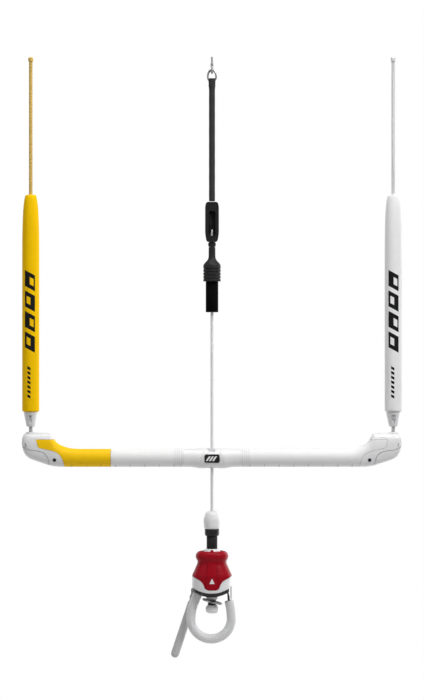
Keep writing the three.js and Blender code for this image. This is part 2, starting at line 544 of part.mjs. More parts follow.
function swivel() {
  const cavityTop = SWIVEL_TOP - 13;
  const cavity = rod(6.6, SWIVEL_FOOT - 1, cavityTop);
  const cap = bored([
    [0, SWIVEL_FOOT], [10.4, SWIVEL_FOOT], [11, SWIVEL_FOOT + 2.4], [11.4, SWIVEL_FOOT + 6.5],
    [SWIVEL_RADIUS, SWIVEL_FOOT + 11.5], [10.4, SWIVEL_FOOT + 17.5], [8.6, SWIVEL_FOOT + 21.6],
    [5, SWIVEL_TOP], [0, SWIVEL_TOP],
  ], LINE_BORE, FINE).subtract(cavity);
  add('swivel_cap', cap, WHITE_SHELL);
  add('swivel_collar', bored([
    [0, COLLAR_FOOT], [COLLAR_RADIUS - 1.8, COLLAR_FOOT], [COLLAR_RADIUS, COLLAR_FOOT + 2.2],
    [COLLAR_RADIUS, COLLAR_TOP], [0, COLLAR_TOP],
  ], STEM_RADIUS + GAP, FINE), BLACK_PLASTIC);

  const headTop = cavityTop - 2 * LINE_RADIUS;
  add('swivel_stem', turned([
    [0, STEM_FOOT], [STEM_RADIUS, STEM_FOOT], [STEM_RADIUS, COLLAR_TOP + GAP],
    [6, COLLAR_TOP + GAP], [6, headTop - 1], [5, headTop], [0, headTop],
  ]), STEEL);
  add('swivel_tube', bored([
    [0, HANDLE_TOP + 3.3], [SWIVEL_TUBE_RADIUS, HANDLE_TOP + 3.3], [SWIVEL_TUBE_RADIUS, COLLAR_FOOT - GAP],
    [0, COLLAR_FOOT - GAP],
  ], STEM_RADIUS + GAP), BLACK_RUBBER);
}

// ---- Quick release: a red handle slides up a barrel, off the white body, and lets the loop go ----
// Distance out from the middle and down from the handle's top along the seam.
const SEAM_HALF = [[5, 51.9], [9.4, 49.7], [12, 43.7], [15.6, 39.5], [27.1, 33.8], [40, 30.3]];
const SEAM_EDGE = [
  ...SEAM_HALF.map(([x, drop]) => [-x, HANDLE_TOP - drop]).reverse(),
  ...SEAM_HALF.map(([x, drop]) => [x, HANDLE_TOP - drop]),
];
const RELEASE_SECTIONS = [
  [HANDLE_TOP, 15, 14], [HANDLE_TOP - 1.3, 19.4, 17.6], [HANDLE_TOP - 4.3, 21.8, 19.6],
  [HANDLE_TOP - 7.9, 22.4, 20], [HANDLE_TOP - 11, 21.3, 19.2], [HANDLE_TOP - 13.8, 19.9, 18.2],
  [HANDLE_TOP - 17.3, 20.3, 18.4], [HANDLE_TOP - 21.3, 22, 19.6], [HANDLE_TOP - 27.3, 24.6, 21.2],
  [HANDLE_TOP - 34, RELEASE_HALF_WIDTH, RELEASE_HALF_DEPTH],
  [HANDLE_TOP - 45, RELEASE_HALF_WIDTH, RELEASE_HALF_DEPTH],
  [HANDLE_TOP - 55, RELEASE_HALF_WIDTH - 0.6, RELEASE_HALF_DEPTH - 0.4],
  [BASE_BOTTOM - 2, RELEASE_HALF_WIDTH - 4.5, RELEASE_HALF_DEPTH - 3],
];
const BARREL_TOP = HANDLE_TOP + 3;
const BARREL_FOOT = BASE_BOTTOM + 11;
const HANDLE_BORE = BARREL_RADIUS + GAP;
const SPRING_WIRE = 0.8;
const SPRING_RADIUS = HANDLE_BORE + SPRING_WIRE + 0.5;
const SPRING_ROOM = SPRING_RADIUS + SPRING_WIRE + 0.7;
const FLANGE_FOOT = HANDLE_TOP - 14;
const FLANGE_THICKNESS = 2;
const SEAT_TOP = FLANGE_FOOT - HANDLE_TRAVEL - 12;
const SEAT_THICKNESS = 2;

function baseArc(lift) {
  return rodY(BASE_CURVE_RADIUS, -40, 40, 64).translate([-1, 0, BASE_BOTTOM + BASE_CURVE_RADIUS + lift]);
}

// The spring's room: it pushes down from the barrel's flange on a seat that the handle carries.
function springRoom(low, high) {
  return rod(SPRING_ROOM, low, high);
}

function quickRelease() {
  const whole = lofted(RELEASE_SECTIONS.map(([z, halfX, halfY]) => [z, 0, halfX, halfY, 2.3]), 'z', 28);
  const above = plate([...SEAM_EDGE, [40, -600], [-40, -600]], -40, 40);
  const below = plate([...SEAM_EDGE.map(([x, z]) => [x, z - GAP]), [40, -790], [-40, -790]].reverse(), -40, 40);

  const grooves = [-1, 1].map((side) => rodY(5, -60, 60, 16)
    .translate([side * (RELEASE_HALF_WIDTH + 1.6), 0, HANDLE_TOP - 19.5]));
  const mouth = turned([[0, HANDLE_TOP - 5], [HANDLE_BORE, HANDLE_TOP - 5], [HANDLE_BORE + 2, HANDLE_TOP + 1],
    [0, HANDLE_TOP + 1]], FINE);
  const handle = whole.intersect(above).subtract(rod(HANDLE_BORE, -800, -600, FINE)).subtract(mouth)
    .subtract(springRoom(-800, FLANGE_FOOT + FLANGE_THICKNESS + GAP)).subtract(joined(grooves));
  add('release_handle', handle, RED_PLASTIC);

  const core = bored([
    [0, BARREL_FOOT], [BARREL_RADIUS, BARREL_FOOT], [BARREL_RADIUS, FLANGE_FOOT],
    [SPRING_ROOM - GAP, FLANGE_FOOT], [SPRING_ROOM - GAP, FLANGE_FOOT + FLANGE_THICKNESS],
    [BARREL_RADIUS, FLANGE_FOOT + FLANGE_THICKNESS], [BARREL_RADIUS, HANDLE_TOP - 4],
    [BARREL_RADIUS - 1, HANDLE_TOP + 1.2], [SWIVEL_TUBE_RADIUS + 1.4, BARREL_TOP], [0, BARREL_TOP],
  ], STEM_RADIUS + GAP);
  add('core_barrel', core, WHITE_SHELL);

  add('spring_seat', bored([
    [0, SEAT_TOP - SEAT_THICKNESS], [SPRING_ROOM - GAP, SEAT_TOP - SEAT_THICKNESS],
    [SPRING_ROOM - GAP, SEAT_TOP], [0, SEAT_TOP],
  ], HANDLE_BORE), BLACK_PLASTIC);

  const turns = 4;
  const perTurn = 10;
  const springLength = FLANGE_FOOT - SEAT_TOP - 2 * GAP - 2 * SPRING_WIRE;
  const points = [];
  for (let i = 0; i <= turns * perTurn; i += 1) {
    const angle = (2 * Math.PI * i) / perTurn;
    const rise = springLength * i / (turns * perTurn);
    points.push(at(SPRING_RADIUS * Math.cos(angle), SPRING_RADIUS * Math.sin(angle),
      SEAT_TOP + GAP + SPRING_WIRE + rise));
  }
  add('release_spring', tube(points, SPRING_WIRE, 6, turns * perTurn), STEEL);

  const bodyBore = rod(HANDLE_BORE, BARREL_FOOT - GAP, -600, FINE);
  const stemWay = rod(STEM_RADIUS + GAP, STEM_FOOT - GAP, -600);
  const body = whole.intersect(below).intersect(baseArc(BASE_BAND + GAP)).subtract(bodyBore)
    .subtract(springRoom(SEAT_TOP - SEAT_THICKNESS - 1, -600)).subtract(stemWay).subtract(cuffRoom())
    .subtract(tongueRoom()).subtract(hubRoom()).subtract(lugPlate(GAP)).subtract(latchArm(GAP));
  add('release_body', body, WHITE_SHELL);

  const base = whole.intersect(baseArc(0)).subtract(baseArc(BASE_BAND)).intersect(
    block(-40, 23.4, -40, 40, -790, BASE_BOTTOM + 11)).subtract(cuffRoom()).subtract(tongueRoom())
    .subtract(hubRoom()).subtract(lugPlate(GAP));
  add('release_base', base, BLACK_PLASTIC);
}

// ---- Chicken loop: a cuff in the base, the open loop that pivots at its end, and a steel tongue ----
const LOOP_CENTRE = at(-1, 0, LOOP_BOTTOM + LOOP_BEND_RADIUS);
const CUFF_TOP = at(-17.2, 0, BASE_BOTTOM + 8.4);
const LOOP_PIVOT = at(-23.6, 0, BASE_BOTTOM - 7);
const TONGUE_FOOT = at(23.4, 0, BASE_BOTTOM - 6.4);
const TONGUE_HALF = 3.3;               // half width, front to back

function cuffRoom() {
  return tube([at(-16.2, 0, BASE_BOTTOM + 10.8), LOOP_PIVOT], LOOP_TUBE_RADIUS + 0.5 + GAP, 16, 2);
}

function tongueRoom() {
  return block(18.8, 26, -TONGUE_HALF - 1.1, TONGUE_HALF + 1.1, BASE_BOTTOM - 20.6, BASE_BOTTOM + 11.4);
}

// The steel lug that the finger hangs on comes down out of the body, just behind the cuff.
function lugPlate(gap) {
  const front = FINGER_BACK - FINGER_RADIUS + 1 - GAP - 1.05;
  return block(FINGER_X - 3.6 - gap, FINGER_X + 7.6 + gap, front - gap, front + 1.05 + gap,
    FINGER_Z - 4, FINGER_Z + 13 + gap);
}

// The white arm beside the tongue, which the handle holds shut.
function latchArm(gap) {
  return block(25.1 - gap, RELEASE_HALF_WIDTH + gap, -4 - gap, 4 + gap, BASE_BOTTOM - 4.2,
    BASE_BOTTOM + 17.4 + gap);
}

function hubRoom() {
  return rod(8 + GAP, BASE_BOTTOM - 8, BASE_BOTTOM + 7);
}

function loopPath() {
  const points = [LOOP_PIVOT, at(-27.2, 0, BASE_BOTTOM - 17.6)];
  const steps = 12;
  for (let i = 0; i <= steps; i += 1) {
    const angle = Math.PI + (Math.PI * i) / steps;
    points.push(at(LOOP_CENTRE.x + LOOP_BEND_RADIUS * Math.cos(angle), 0,
      LOOP_CENTRE.z + LOOP_BEND_RADIUS * Math.sin(angle)));
  }
  points.push(at(25.6, 0, BASE_BOTTOM - 18.6), at(TONGUE_FOOT.x, 0, TONGUE_FOOT.z));
  return points;
}

function hookIn() {
  const knuckleAt = (radius) => ball(radius, 0).translate(LOOP_PIVOT.toArray());
  const cuffFoot = LOOP_PIVOT.clone().lerp(CUFF_TOP, 0.36);
  const cuff = tube([CUFF_TOP, cuffFoot], LOOP_TUBE_RADIUS + 0.5, 16, 2);
  add('loop_cuff', cuff.subtract(knuckleAt(LOOP_TUBE_RADIUS + 1.5 * GAP)), WHITE_SHELL);
  const tongueHole = block(19.5, 27, -TONGUE_HALF - GAP, TONGUE_HALF + GAP, TONGUE_FOOT.z - 5,
    TONGUE_FOOT.z + 25);
  const loop = tube(loopPath(), LOOP_TUBE_RADIUS, 12, 24);
  add('loop_tube', loop.add(knuckleAt(LOOP_TUBE_RADIUS)).subtract(tongueHole), GREY_SHELL);
  const outline = [[22, -11], [24.8, -11], [24.2, -1.6], [21.8, 8], [19.6, 8], [19.6, 5.4], [20.8, 3.4]];
  const tongue = plate(outline.map(([x, height]) => [x, BASE_BOTTOM + height]), -TONGUE_HALF, TONGUE_HALF);
  add('loop_tongue', tongue, STEEL);
  add('latch_arm', latchArm(0), WHITE_SHELL);

  const pivot = [FINGER_X, FINGER_BACK, FINGER_Z];
  const lean = [0, FINGER_LEAN_DEG, 0];
  const eyeHalf = FINGER_RADIUS - 1;
  const eye = rodY(FINGER_RADIUS, -eyeHalf, eyeHalf, 16);
  const rodDown = turned([[0, -FINGER_LENGTH], [2.6, -FINGER_LENGTH + 0.5], [4.8, -FINGER_LENGTH + 2.4],
    [FINGER_RADIUS, -FINGER_LENGTH + 5.4], [FINGER_RADIUS, -FINGER_LENGTH / 2], [FINGER_RADIUS, -7],
    [0, -7]], 16).add(rod(eyeHalf, -8, -2, 16));
  const finger = eye.add(rodDown).subtract(rodY(1.8 + GAP, -9, 9, 12)).rotate(lean).translate(pivot);
  add('finger_tube', finger, GREY_SHELL);
  const lug = lugPlate(0).add(rodY(1.8, -eyeHalf - 0.8, eyeHalf - 0.2, 12).translate(pivot));
  add('finger_pin', lug, STEEL);
}

// ---- Leash: a stem with a knob, a turning bush on its neck and a steel ring leaning on the knob ----
const NECK_RADIUS = 4.4;
const KNOB_TOP = BASE_BOTTOM - 12.4;

function leash() {
  const foot = KNOB_TOP - 11.4;
  add('leash_stem', turned([
    [0, foot], [5.4, foot], [7.8, foot + 1.8], [KNOB_RADIUS, foot + 5], [8.4, foot + 8.6], [6.4, KNOB_TOP],
    [NECK_RADIUS, KNOB_TOP], [NECK_RADIUS, BASE_BOTTOM - 5.4], [7, BASE_BOTTOM - 4.6], [8, BASE_BOTTOM - 1.8],
    [8, BASE_BOTTOM + 6], [0, BASE_BOTTOM + 6],
  ]), WHITE_SHELL);
  const bushRadius = NECK_RADIUS + GAP + 1.1;
  add('leash_bush', bored([[0, KNOB_TOP + GAP], [bushRadius, KNOB_TOP + GAP], [bushRadius, BASE_BOTTOM - 5.4 - GAP],
    [0, BASE_BOTTOM - 5.4 - GAP]], NECK_RADIUS + GAP), BLACK_PLASTIC);
  const hole = bushRadius + 1.1;
  const outline = new THREE.Shape();
  outline.absarc(0, 0, LEASH_RING_RADIUS, 0, 2 * Math.PI);
  const hookSlot = new THREE.Shape();
  const [slotIn, slotOut] = [hole + 1.8, LEASH_RING_RADIUS - 1.6];
  hookSlot.absarc(0, 0, slotOut, 0.9, Math.PI - 0.9, false);
  hookSlot.absarc(0, 0, slotIn, Math.PI - 0.9, 0.9, true);
  const sheet = { depth: 2, bevelEnabled: false, curveSegments: 20 };
  const slotCut = solid(new THREE.ExtrudeGeometry(hookSlot, { ...sheet, depth: 8 }).translate(0, 0, -3));
  const ring = solid(new THREE.ExtrudeGeometry(outline, sheet)).subtract(rod(hole, -3, 5)).subtract(slotCut);
  add('leash_ring', ring.translate([0, 0, -1]).rotate([0, LEASH_RING_LEAN_DEG, 0])
    .translate([0.4, 0, KNOB_TOP + 4.6]), STEEL);
}

frontLineLoop();
headRing();
trimLine();
trimSleeve();
cleat();
centreLine();
barCentre();
barBody();
leader('left', -1, YELLOW_LINE, YELLOW_FOAM);
leader('right', 1, WHITE_LINE, WHITE_FOAM);
swivel();
quickRelease();
hookIn();
leash();

export default bar;
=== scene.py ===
import json
from math import ceil, cos, pi, radians, sin

import bmesh
import bpy
from mathutils import Matrix, Vector


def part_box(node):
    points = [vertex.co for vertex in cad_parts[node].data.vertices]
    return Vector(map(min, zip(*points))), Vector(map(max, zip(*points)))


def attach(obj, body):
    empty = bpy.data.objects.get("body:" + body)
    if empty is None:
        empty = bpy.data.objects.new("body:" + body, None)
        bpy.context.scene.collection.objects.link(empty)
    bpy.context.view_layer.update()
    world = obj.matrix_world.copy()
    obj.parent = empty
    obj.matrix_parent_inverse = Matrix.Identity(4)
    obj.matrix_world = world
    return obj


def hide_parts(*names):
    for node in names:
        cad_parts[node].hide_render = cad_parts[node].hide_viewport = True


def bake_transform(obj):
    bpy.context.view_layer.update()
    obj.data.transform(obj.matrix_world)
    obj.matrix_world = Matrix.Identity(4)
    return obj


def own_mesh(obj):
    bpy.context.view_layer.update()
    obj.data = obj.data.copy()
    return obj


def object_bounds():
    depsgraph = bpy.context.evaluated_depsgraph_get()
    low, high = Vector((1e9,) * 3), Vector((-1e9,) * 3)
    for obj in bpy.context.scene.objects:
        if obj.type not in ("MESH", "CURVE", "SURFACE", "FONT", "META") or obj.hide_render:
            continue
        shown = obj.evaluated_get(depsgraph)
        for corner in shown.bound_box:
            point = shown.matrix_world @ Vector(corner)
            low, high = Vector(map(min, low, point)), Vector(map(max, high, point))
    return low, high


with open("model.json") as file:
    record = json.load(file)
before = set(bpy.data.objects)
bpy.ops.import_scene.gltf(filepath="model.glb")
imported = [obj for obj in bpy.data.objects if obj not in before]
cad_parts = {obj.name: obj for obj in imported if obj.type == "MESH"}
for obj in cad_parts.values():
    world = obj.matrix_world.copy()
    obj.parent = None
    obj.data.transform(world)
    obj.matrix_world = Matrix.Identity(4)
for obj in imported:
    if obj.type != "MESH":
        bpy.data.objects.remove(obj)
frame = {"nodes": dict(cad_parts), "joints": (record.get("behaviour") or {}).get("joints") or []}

cad_box = [list(corner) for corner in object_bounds()]

# ---- Camera ----
# A long lens looks level along +Y at the hanging bar, so that the bar, the floats and the release all
# show their true outlines. The view is a sixth taller than the object.
OBJECT_FOOT, OBJECT_TOP = cad_box[0][2], cad_box[1][2]
VIEW_HEIGHT = 1.163 * (OBJECT_TOP - OBJECT_FOOT)
CAMERA_DISTANCE = 3.2
CAMERA_DROP = 0.4868
SENSOR_SIZE = 36
lens_data = bpy.data.cameras.new("camera")
lens_data.lens = SENSOR_SIZE * CAMERA_DISTANCE / VIEW_HEIGHT
camera = bpy.data.objects.new("camera", lens_data)
camera.location = (0, -CAMERA_DISTANCE, CAMERA_DROP * OBJECT_FOOT)
camera.rotation_euler = (radians(90), 0, 0)
bpy.context.scene.collection.objects.link(camera)
bpy.context.scene.camera = camera

# ---- Leader lines ----
# Braided polyethylene, one at each bar end. A leader starts at a knot in the end cap, runs up through its
# float and ends in the knot that the kite's back line is hitched behind.
MM = 0.001


class Wire:
    """A shader socket, so that sums can be written as sums."""

    def __init__(self, tree, socket):
        self.tree = tree
        self.socket = socket

    def node(self, kind, settings=None, output=0, **sockets):
        made = self.tree.nodes.new(kind)
        for key, value in (settings or {}).items():
            setattr(made, key, value)
        for key, value in sockets.items():
            slot = made.inputs[int(key[1:]) if key[0] == "_" else key.replace("_", " ")]
            if isinstance(value, Wire):
                self.tree.links.new(value.socket, slot)
            else:
                slot.default_value = value
        return Wire(self.tree, made.outputs[output])

    def maths(self, operation, *others, turned_round=False):
        values = (*others, self) if turned_round else (self, *others)
        return self.node("ShaderNodeMath", {"operation": operation},
                         **{f"_{i}": value for i, value in enumerate(values)})

    def __add__(self, other):
        return self.maths("ADD", other)

    def __radd__(self, other):
        return self.maths("ADD", other)

    def __sub__(self, other):
        return self.maths("SUBTRACT", other)

    def __rsub__(self, other):
        return self.maths("SUBTRACT", other, turned_round=True)

    def __mul__(self, other):
        return self.maths("MULTIPLY", other)

    def __rmul__(self, other):
        return self.maths("MULTIPLY", other)

    def __truediv__(self, other):
        return self.maths("DIVIDE", other)

    def __rtruediv__(self, other):
        return self.maths("DIVIDE", other, turned_round=True)

    def __abs__(self):
        return self.maths("ABSOLUTE")

    def __lt__(self, other):
        return self.maths("LESS_THAN", other)

    def __gt__(self, other):
        return self.maths("GREATER_THAN", other)


class Finish:
    """A Principled material with Object coordinates in millimetres, whose sockets take values or Wires."""

    def __init__(self, name, colour, roughness, metallic=0.0, coat=0.0, specular=0.5):
        self.material = bpy.data.materials.new(name)
        self.material.use_nodes = True
        self.tree = self.material.node_tree
        self.shader = self.tree.nodes["Principled BSDF"]
        self.set("Base Color", (*colour, 1))
        self.set("Roughness", roughness)
        self.set("Metallic", metallic)
        self.set("Coat Weight", coat)
        self.set("Specular IOR Level", specular)
        place = Wire(self.tree, None).node("ShaderNodeTexCoord", output=3)
        self.place = place.node("ShaderNodeVectorMath", {"operation": "SCALE"}, _0=place, Scale=1 / MM)
        split = place.node("ShaderNodeSeparateXYZ", Vector=self.place).socket.node
        self.x, self.y, self.z = (Wire(self.tree, output) for output in split.outputs)

    def set(self, key, value):
        if isinstance(value, Wire):
            self.tree.links.new(value.socket, self.shader.inputs[key])
        else:
            self.shader.inputs[key].default_value = value

    def noise(self, size, detail=3.0, rough=0.55):
        return self.place.node("ShaderNodeTexNoise", Vector=self.place, Scale=1 / size, Detail=detail,
                               Roughness=rough)

    def mix(self, factor, first, second):
        wires = {"_0": factor, "_6": first, "_7": second}
        wires = {key: value if isinstance(value, Wire) or key == "_0" else (*value, 1)
                 for key, value in wires.items()}
        return self.place.node("ShaderNodeMix", {"data_type": "RGBA"}, output=2, **wires)

    def bump(self, height, depth):
        self.set("Normal", height.node("ShaderNodeBump", Height=height, Distance=depth * MM))


# Moulded plastic and rubber: a fine spark-eroded grain, cloudy flow marks and duller scuffs.
def moulded(name, colour, roughness, flow=0.05, grain=0.02, specular=0.5):
    finish = Finish(name, colour, roughness, specular=specular)
    darker = [channel * (1 - 2 * flow) for channel in colour]
    lighter = [min(1, channel * (1 + flow)) for channel in colour]
    finish.set("Base Color", finish.mix(finish.noise(26, 4), darker, lighter))
    finish.set("Roughness", finish.noise(4.5, 5, 0.7) * 0.24 + (roughness - 0.12))
    finish.bump(finish.noise(0.38, 2) + finish.noise(1.6, 2) * 0.4, grain)
    return finish.material


def machined(name, colour, roughness):
    finish = Finish(name, colour, roughness, metallic=1.0)
    darker = [channel * 0.8 for channel in colour]
    finish.set("Base Color", finish.mix(finish.noise(7, 4), darker, colour))
    finish.set("Roughness", finish.noise(2.2, 5, 0.7) * 0.25 + (roughness - 0.1))
    finish.bump(finish.noise(0.5, 3), 0.012)
    return finish.material


# Two sets of strands cross round a braided line, and it is a little furred. The colour is painted darker in
# the hollows between the strands, as painted shade, and the fur varies it at random.
def braided(name, colour, x=0.0, strands=4, pitch=4.0, depth=0.22, shade=0.5, below=None):
    finish = Finish(name, colour, 0.6, specular=0.2)
    turn = (finish.x - x).maths("ARCTAN2", finish.y) * strands
    climb = finish.z * (2 * pi / pitch)
    weave = (climb + turn).maths("SINE").maths("MAXIMUM", (climb - turn).maths("SINE")) * 0.5 + 0.5
    fur = finish.noise(0.4, 4)
    # The colour darkens with the weave: painted shade in the hollows between the strands.
    tone = finish.mix(weave * 0.7 + fur * 0.3, [channel * shade for channel in colour], colour)
    if below:
        pale = finish.mix(weave * 0.7 + fur * 0.3, [channel * shade for channel in below[1]], below[1])
        tone = finish.mix(finish.z > below[0], pale, tone)
    finish.set("Base Color", tone)
    finish.set("Roughness", fur * 0.3 + 0.5)
    finish.bump(weave + fur * 0.35, depth)
    return finish.material


# Every form is made where it sits, in millimetres with its plain position, and scaled to metres here.
def piece(name, form, body, finish, replaces=(), edge=0.0, sharp=30, smooth=0):
    mesh = bpy.data.meshes.new(name)
    form.to_mesh(mesh)
    form.free()
    mesh.transform(Matrix.Scale(MM, 4))
    mesh.materials.append(finish)
    mesh.shade_smooth()
    mesh.set_sharp_from_angle(angle=radians(sharp + (20 if edge else 0)))
    made = bpy.data.objects.new(name, mesh)
    bpy.context.scene.collection.objects.link(made)
    if edge:
        bevel = made.modifiers.new("edge", "BEVEL")
        bevel.width = edge * MM
        bevel.segments = 3
        bevel.limit_method = "ANGLE"
        bevel.angle_limit = radians(sharp)
    if smooth:
        surface = made.modifiers.new("surface", "SUBSURF")
        surface.levels = smooth
        surface.render_levels = smooth
    if body:
        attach(made, body)
    if replaces:
        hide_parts(*replaces)
    return made


# Rings of points, each bridged to the next, with the two ends filled or joined to each other.
def skin(rows, closed=False):
    form = bmesh.new()
    loops = []
    for row in rows:
        ring = [form.verts.new(point) for point in row]
        loops.append([form.edges.new((ring[i - 1], corner)) for i, corner in enumerate(ring)])
    for loop, following in zip(loops, loops[1:] + loops[:1] * closed):
        bmesh.ops.bridge_loops(form, edges=loop + following)
    if not closed:
        bmesh.ops.edgeloop_fill(form, edges=loops[0] + loops[-1])
    bmesh.ops.recalc_face_normals(form, faces=form.faces)
    return form


# A piece turned about Z from [radius, height] points, open or back to its first point.
def turned(profile, x=0.0, steps=72, closed=False):
    form = bmesh.new()
    points = [form.verts.new((x + radius, 0, height)) for radius, height in profile]
    pairs = list(zip(points, points[1:])) + ([(points[-1], points[0])] if closed else [])
    lines = [form.edges.new(pair) for pair in pairs]
    bmesh.ops.spin(form, geom=points + lines, cent=(x, 0, 0), axis=(0, 0, 1), angle=2 * pi, steps=steps,
                   use_merge=True)
    bmesh.ops.remove_doubles(form, verts=form.verts, dist=1e-4)
    bmesh.ops.recalc_face_normals(form, faces=form.faces)
    return form


def line_piece(name, x, low, high, diameter, body, finish, replaces):
    curve = bpy.data.curves.new(name, "CURVE")
    curve.dimensions = "3D"
    curve.bevel_depth = diameter / 2 * MM
    curve.bevel_resolution = 6
    curve.use_fill_caps = True
    run = curve.splines.new("POLY")
    run.points.add(20)
    for i, point in enumerate(run.points):
        point.co = (x * MM, 0, (low + (high - low) * i / 20) * MM, 1)
    made = bpy.data.objects.new(name, curve)
    bpy.context.scene.collection.objects.link(made)
    curve.materials.append(finish)
    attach(made, body)
    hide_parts(replaces)
    return made


# A node's box in millimetres.
def node_box(node):
    return [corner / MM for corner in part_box(node)]


def joint_place(name):
    return next(joint for joint in frame["joints"] if joint["name"] == name)


# The yellow leader is dyed above the float only.
LEADER_DIAMETER = 4.9
float_middle = (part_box("float_left")[0].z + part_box("float_left")[1].z) / 2 / MM
braids = {
    "left": (braided("yellow_braid", (0.74, 0.50, 0.13), -248.7, shade=0.72,
                     below=(float_middle, (0.62, 0.62, 0.62))), "yellow_line"),
    "right": (braided("white_braid", (0.80, 0.80, 0.80), 248.7, shade=0.72), "white_line"),
}
leader_x = {}
for side, (braid, line_slot) in braids.items():
    line_low = node_box(f"leader_line_{side}")[0]
    end_low, end_high = node_box(f"leader_end_{side}")
    x = leader_x[side] = (end_low.x + end_high.x) / 2
    knot_z = line_low.z + 4.5
    line = line_piece(f"leader_{side}", x, knot_z, end_low.z - 0.3, LEADER_DIAMETER, f"{side}_leader",
                      braid, f"leader_line_{side}")
    top_knot = turned([(0, end_low.z), (2.9, end_low.z), (3.6, end_low.z + 1.0), (3.25, end_low.z + 2.0),
                       (3.7, end_low.z + 3.0), (3.3, end_low.z + 4.2), (3.5, end_low.z + 5.1),
                       (2.2, end_high.z - 0.1), (0, end_high.z)], x, 40)
    foot_knot = turned([(0, knot_z - 4.5), (3, knot_z - 3.6), (4.4, knot_z - 1.6), (3.9, knot_z),
                        (4.5, knot_z + 1.5), (3.2, knot_z + 3.6), (2.4, knot_z + 4.2), (0, knot_z + 4.2)],
                       x, 40)
    stop_z = node_box(f"float_cone_{side}")[0].z + 2.6
    stop_knot = turned([(0, stop_z - 3.4), (2.6, stop_z - 3.1), (3.4, stop_z - 1.2), (3.1, stop_z),
                        (3.5, stop_z + 1.2), (2.6, stop_z + 3.1), (0, stop_z + 3.4)], x, 40)
    ends = [
        piece(f"leader_top_knot_{side}", top_knot, f"{side}_leader", braid,
              [f"leader_end_{side}"], smooth=1),
        piece(f"leader_foot_knot_{side}", foot_knot, f"{side}_leader", braid, smooth=1),
        piece(f"leader_stop_knot_{side}", stop_knot, f"{side}_leader", braid, smooth=1),
    ]

# ---- Depower line ----
# Braided line with a slippery jacket. It comes out of the cleat, runs down through the boot, the stopper and
# the bar's centre, and ends inside the swivel.
DEPOWER_DIAMETER = 4.1
depower_braid = braided("depower_braid", (0.90, 0.90, 0.90), 0.0, 4, 3.0, 0.16, 0.78)
depower_low, depower_high = node_box("depower_line")
depower = line_piece("depower", 0.0, depower_low.z, depower_high.z, DEPOWER_DIAMETER, "centre_line",
                     depower_braid, "depower_line")

# ---- Floats ----
# EVA foam tubes, turned with a tapered head and slid on the leaders. A row of slanted blocks and a row of
# small dashes are printed on the front of each.
def foam(name, colour, x, foot, ink=(0.012, 0.012, 0.012)):
    finish = Finish(name, colour, 0.75, specular=0.08)
    across = finish.x - x
    front = finish.y < 0
    lean = finish.z - foot + across * 0.55
    row = (lean - 84) / 28
    blocks = (row.maths("FRACT") < 0.78) * (row > 0) * (row < 4) * (abs(across + 0.4) < 6.9)
    step = (lean - 84).maths("MODULO", 56) > 28
    notch = (abs(across + 2.2 - step * 4.4) < 2.6) * (abs(row.maths("FRACT") - 0.39) < 0.18)
    dashes = ((lean - 18) / 6.4).maths("FRACT") < 0.6
    small = dashes * ((lean - 18) > 0) * ((lean - 18) < 44) * (abs(across + 1.6) < 2.2)
    print_mask = ((blocks - notch).maths("MAXIMUM", 0.0) + small).maths("MINIMUM", 1.0) * front
    soft = finish.mix(finish.noise(9, 4), [channel * 0.93 for channel in colour], colour)
    finish.set("Base Color", finish.mix(print_mask, soft, ink))
    finish.set("Roughness", finish.noise(1.2, 4) * 0.2 + 0.6 - print_mask * 0.2)
    pores = finish.noise(0.55, 3, 0.7) + finish.noise(3, 2) * 0.3
    finish.bump(pores, 0.05)
    return finish.material


float_low, float_high = node_box("float_left")
float_foot, float_top = float_low.z, float_high.z
foams = {
    "left": (foam("yellow_foam", (1.0, 0.60, 0.0), leader_x["left"], float_foot), "yellow_foam"),
    "right": (foam("white_foam", (0.90, 0.90, 0.90), leader_x["right"], float_foot), "white_foam"),
}
BORE = 2.75
float_profile = [
    (BORE, float_foot + 0.4), (BORE + 0.4, float_foot), (10.6, float_foot), (11.35, float_foot + 0.35),
    (11.65, float_foot + 1.3), (11.7, float_foot + 4), (11.7, float_top - 120), (11.7, float_top - 76),
    (11.63, float_top - 64), (11.5, float_top - 52), (11.34, float_top - 44), (11.1, float_top - 36),
    (10.8, float_top - 28), (10.4, float_top - 21), (9.9, float_top - 15), (9.2, float_top - 9),
    (8.45, float_top - 4.6), (7.7, float_top - 1.6), (7.0, float_top - 0.4), (6.2, float_top),
    (BORE + 0.4, float_top), (BORE, float_top - 0.4),
]
for side, (finish, slot) in foams.items():
    piece(f"foam_{side}", turned(float_profile, leader_x[side], 96, closed=True), f"{side}_float", finish,
          [f"float_{side}"], sharp=50)


# ---- Float cones ----
# Moulded nylon cones that hold the floats up off the bar end. A window in the front shows the stop knot's
# line, and a small rib runs across it.
def plate(outline, near, far):
    """A plate of an [across, up] outline, extruded between two depths."""
    form = bmesh.new()
    front = form.faces.new([form.verts.new((across, near, up)) for across, up in outline])
    grown = bmesh.ops.extrude_face_region(form, geom=[front], use_keep_orig=True)["geom"]
    corners = [item for item in grown if isinstance(item, bmesh.types.BMVert)]
    bmesh.ops.translate(form, vec=(0, far - near, 0), verts=corners)
    bmesh.ops.recalc_face_normals(form, faces=form.faces)
    return form


def spare_object(form):
    mesh = bpy.data.meshes.new("spare")
    form.to_mesh(mesh)
    form.free()
    made = bpy.data.objects.new("spare", mesh)
    bpy.context.scene.collection.objects.link(made)
    return made


# The form less, or in common with, each of the cutters.
def cut(form, *cutters, keep=False):
    made = spare_object(form)
    tools = [spare_object(cutter) for cutter in cutters]
    for tool in tools:
        step = made.modifiers.new("cut", "BOOLEAN")
        step.operation = "INTERSECT" if keep else "DIFFERENCE"
        step.solver = "EXACT"
        step.object = tool
    result = bmesh.new()
    result.from_object(made, bpy.context.evaluated_depsgraph_get())
    for spare in [made, *tools]:
        bpy.data.objects.remove(spare)
    bmesh.ops.remove_doubles(result, verts=result.verts, dist=1e-4)
    bmesh.ops.dissolve_degenerate(result, edges=result.edges, dist=1e-4)
    return result


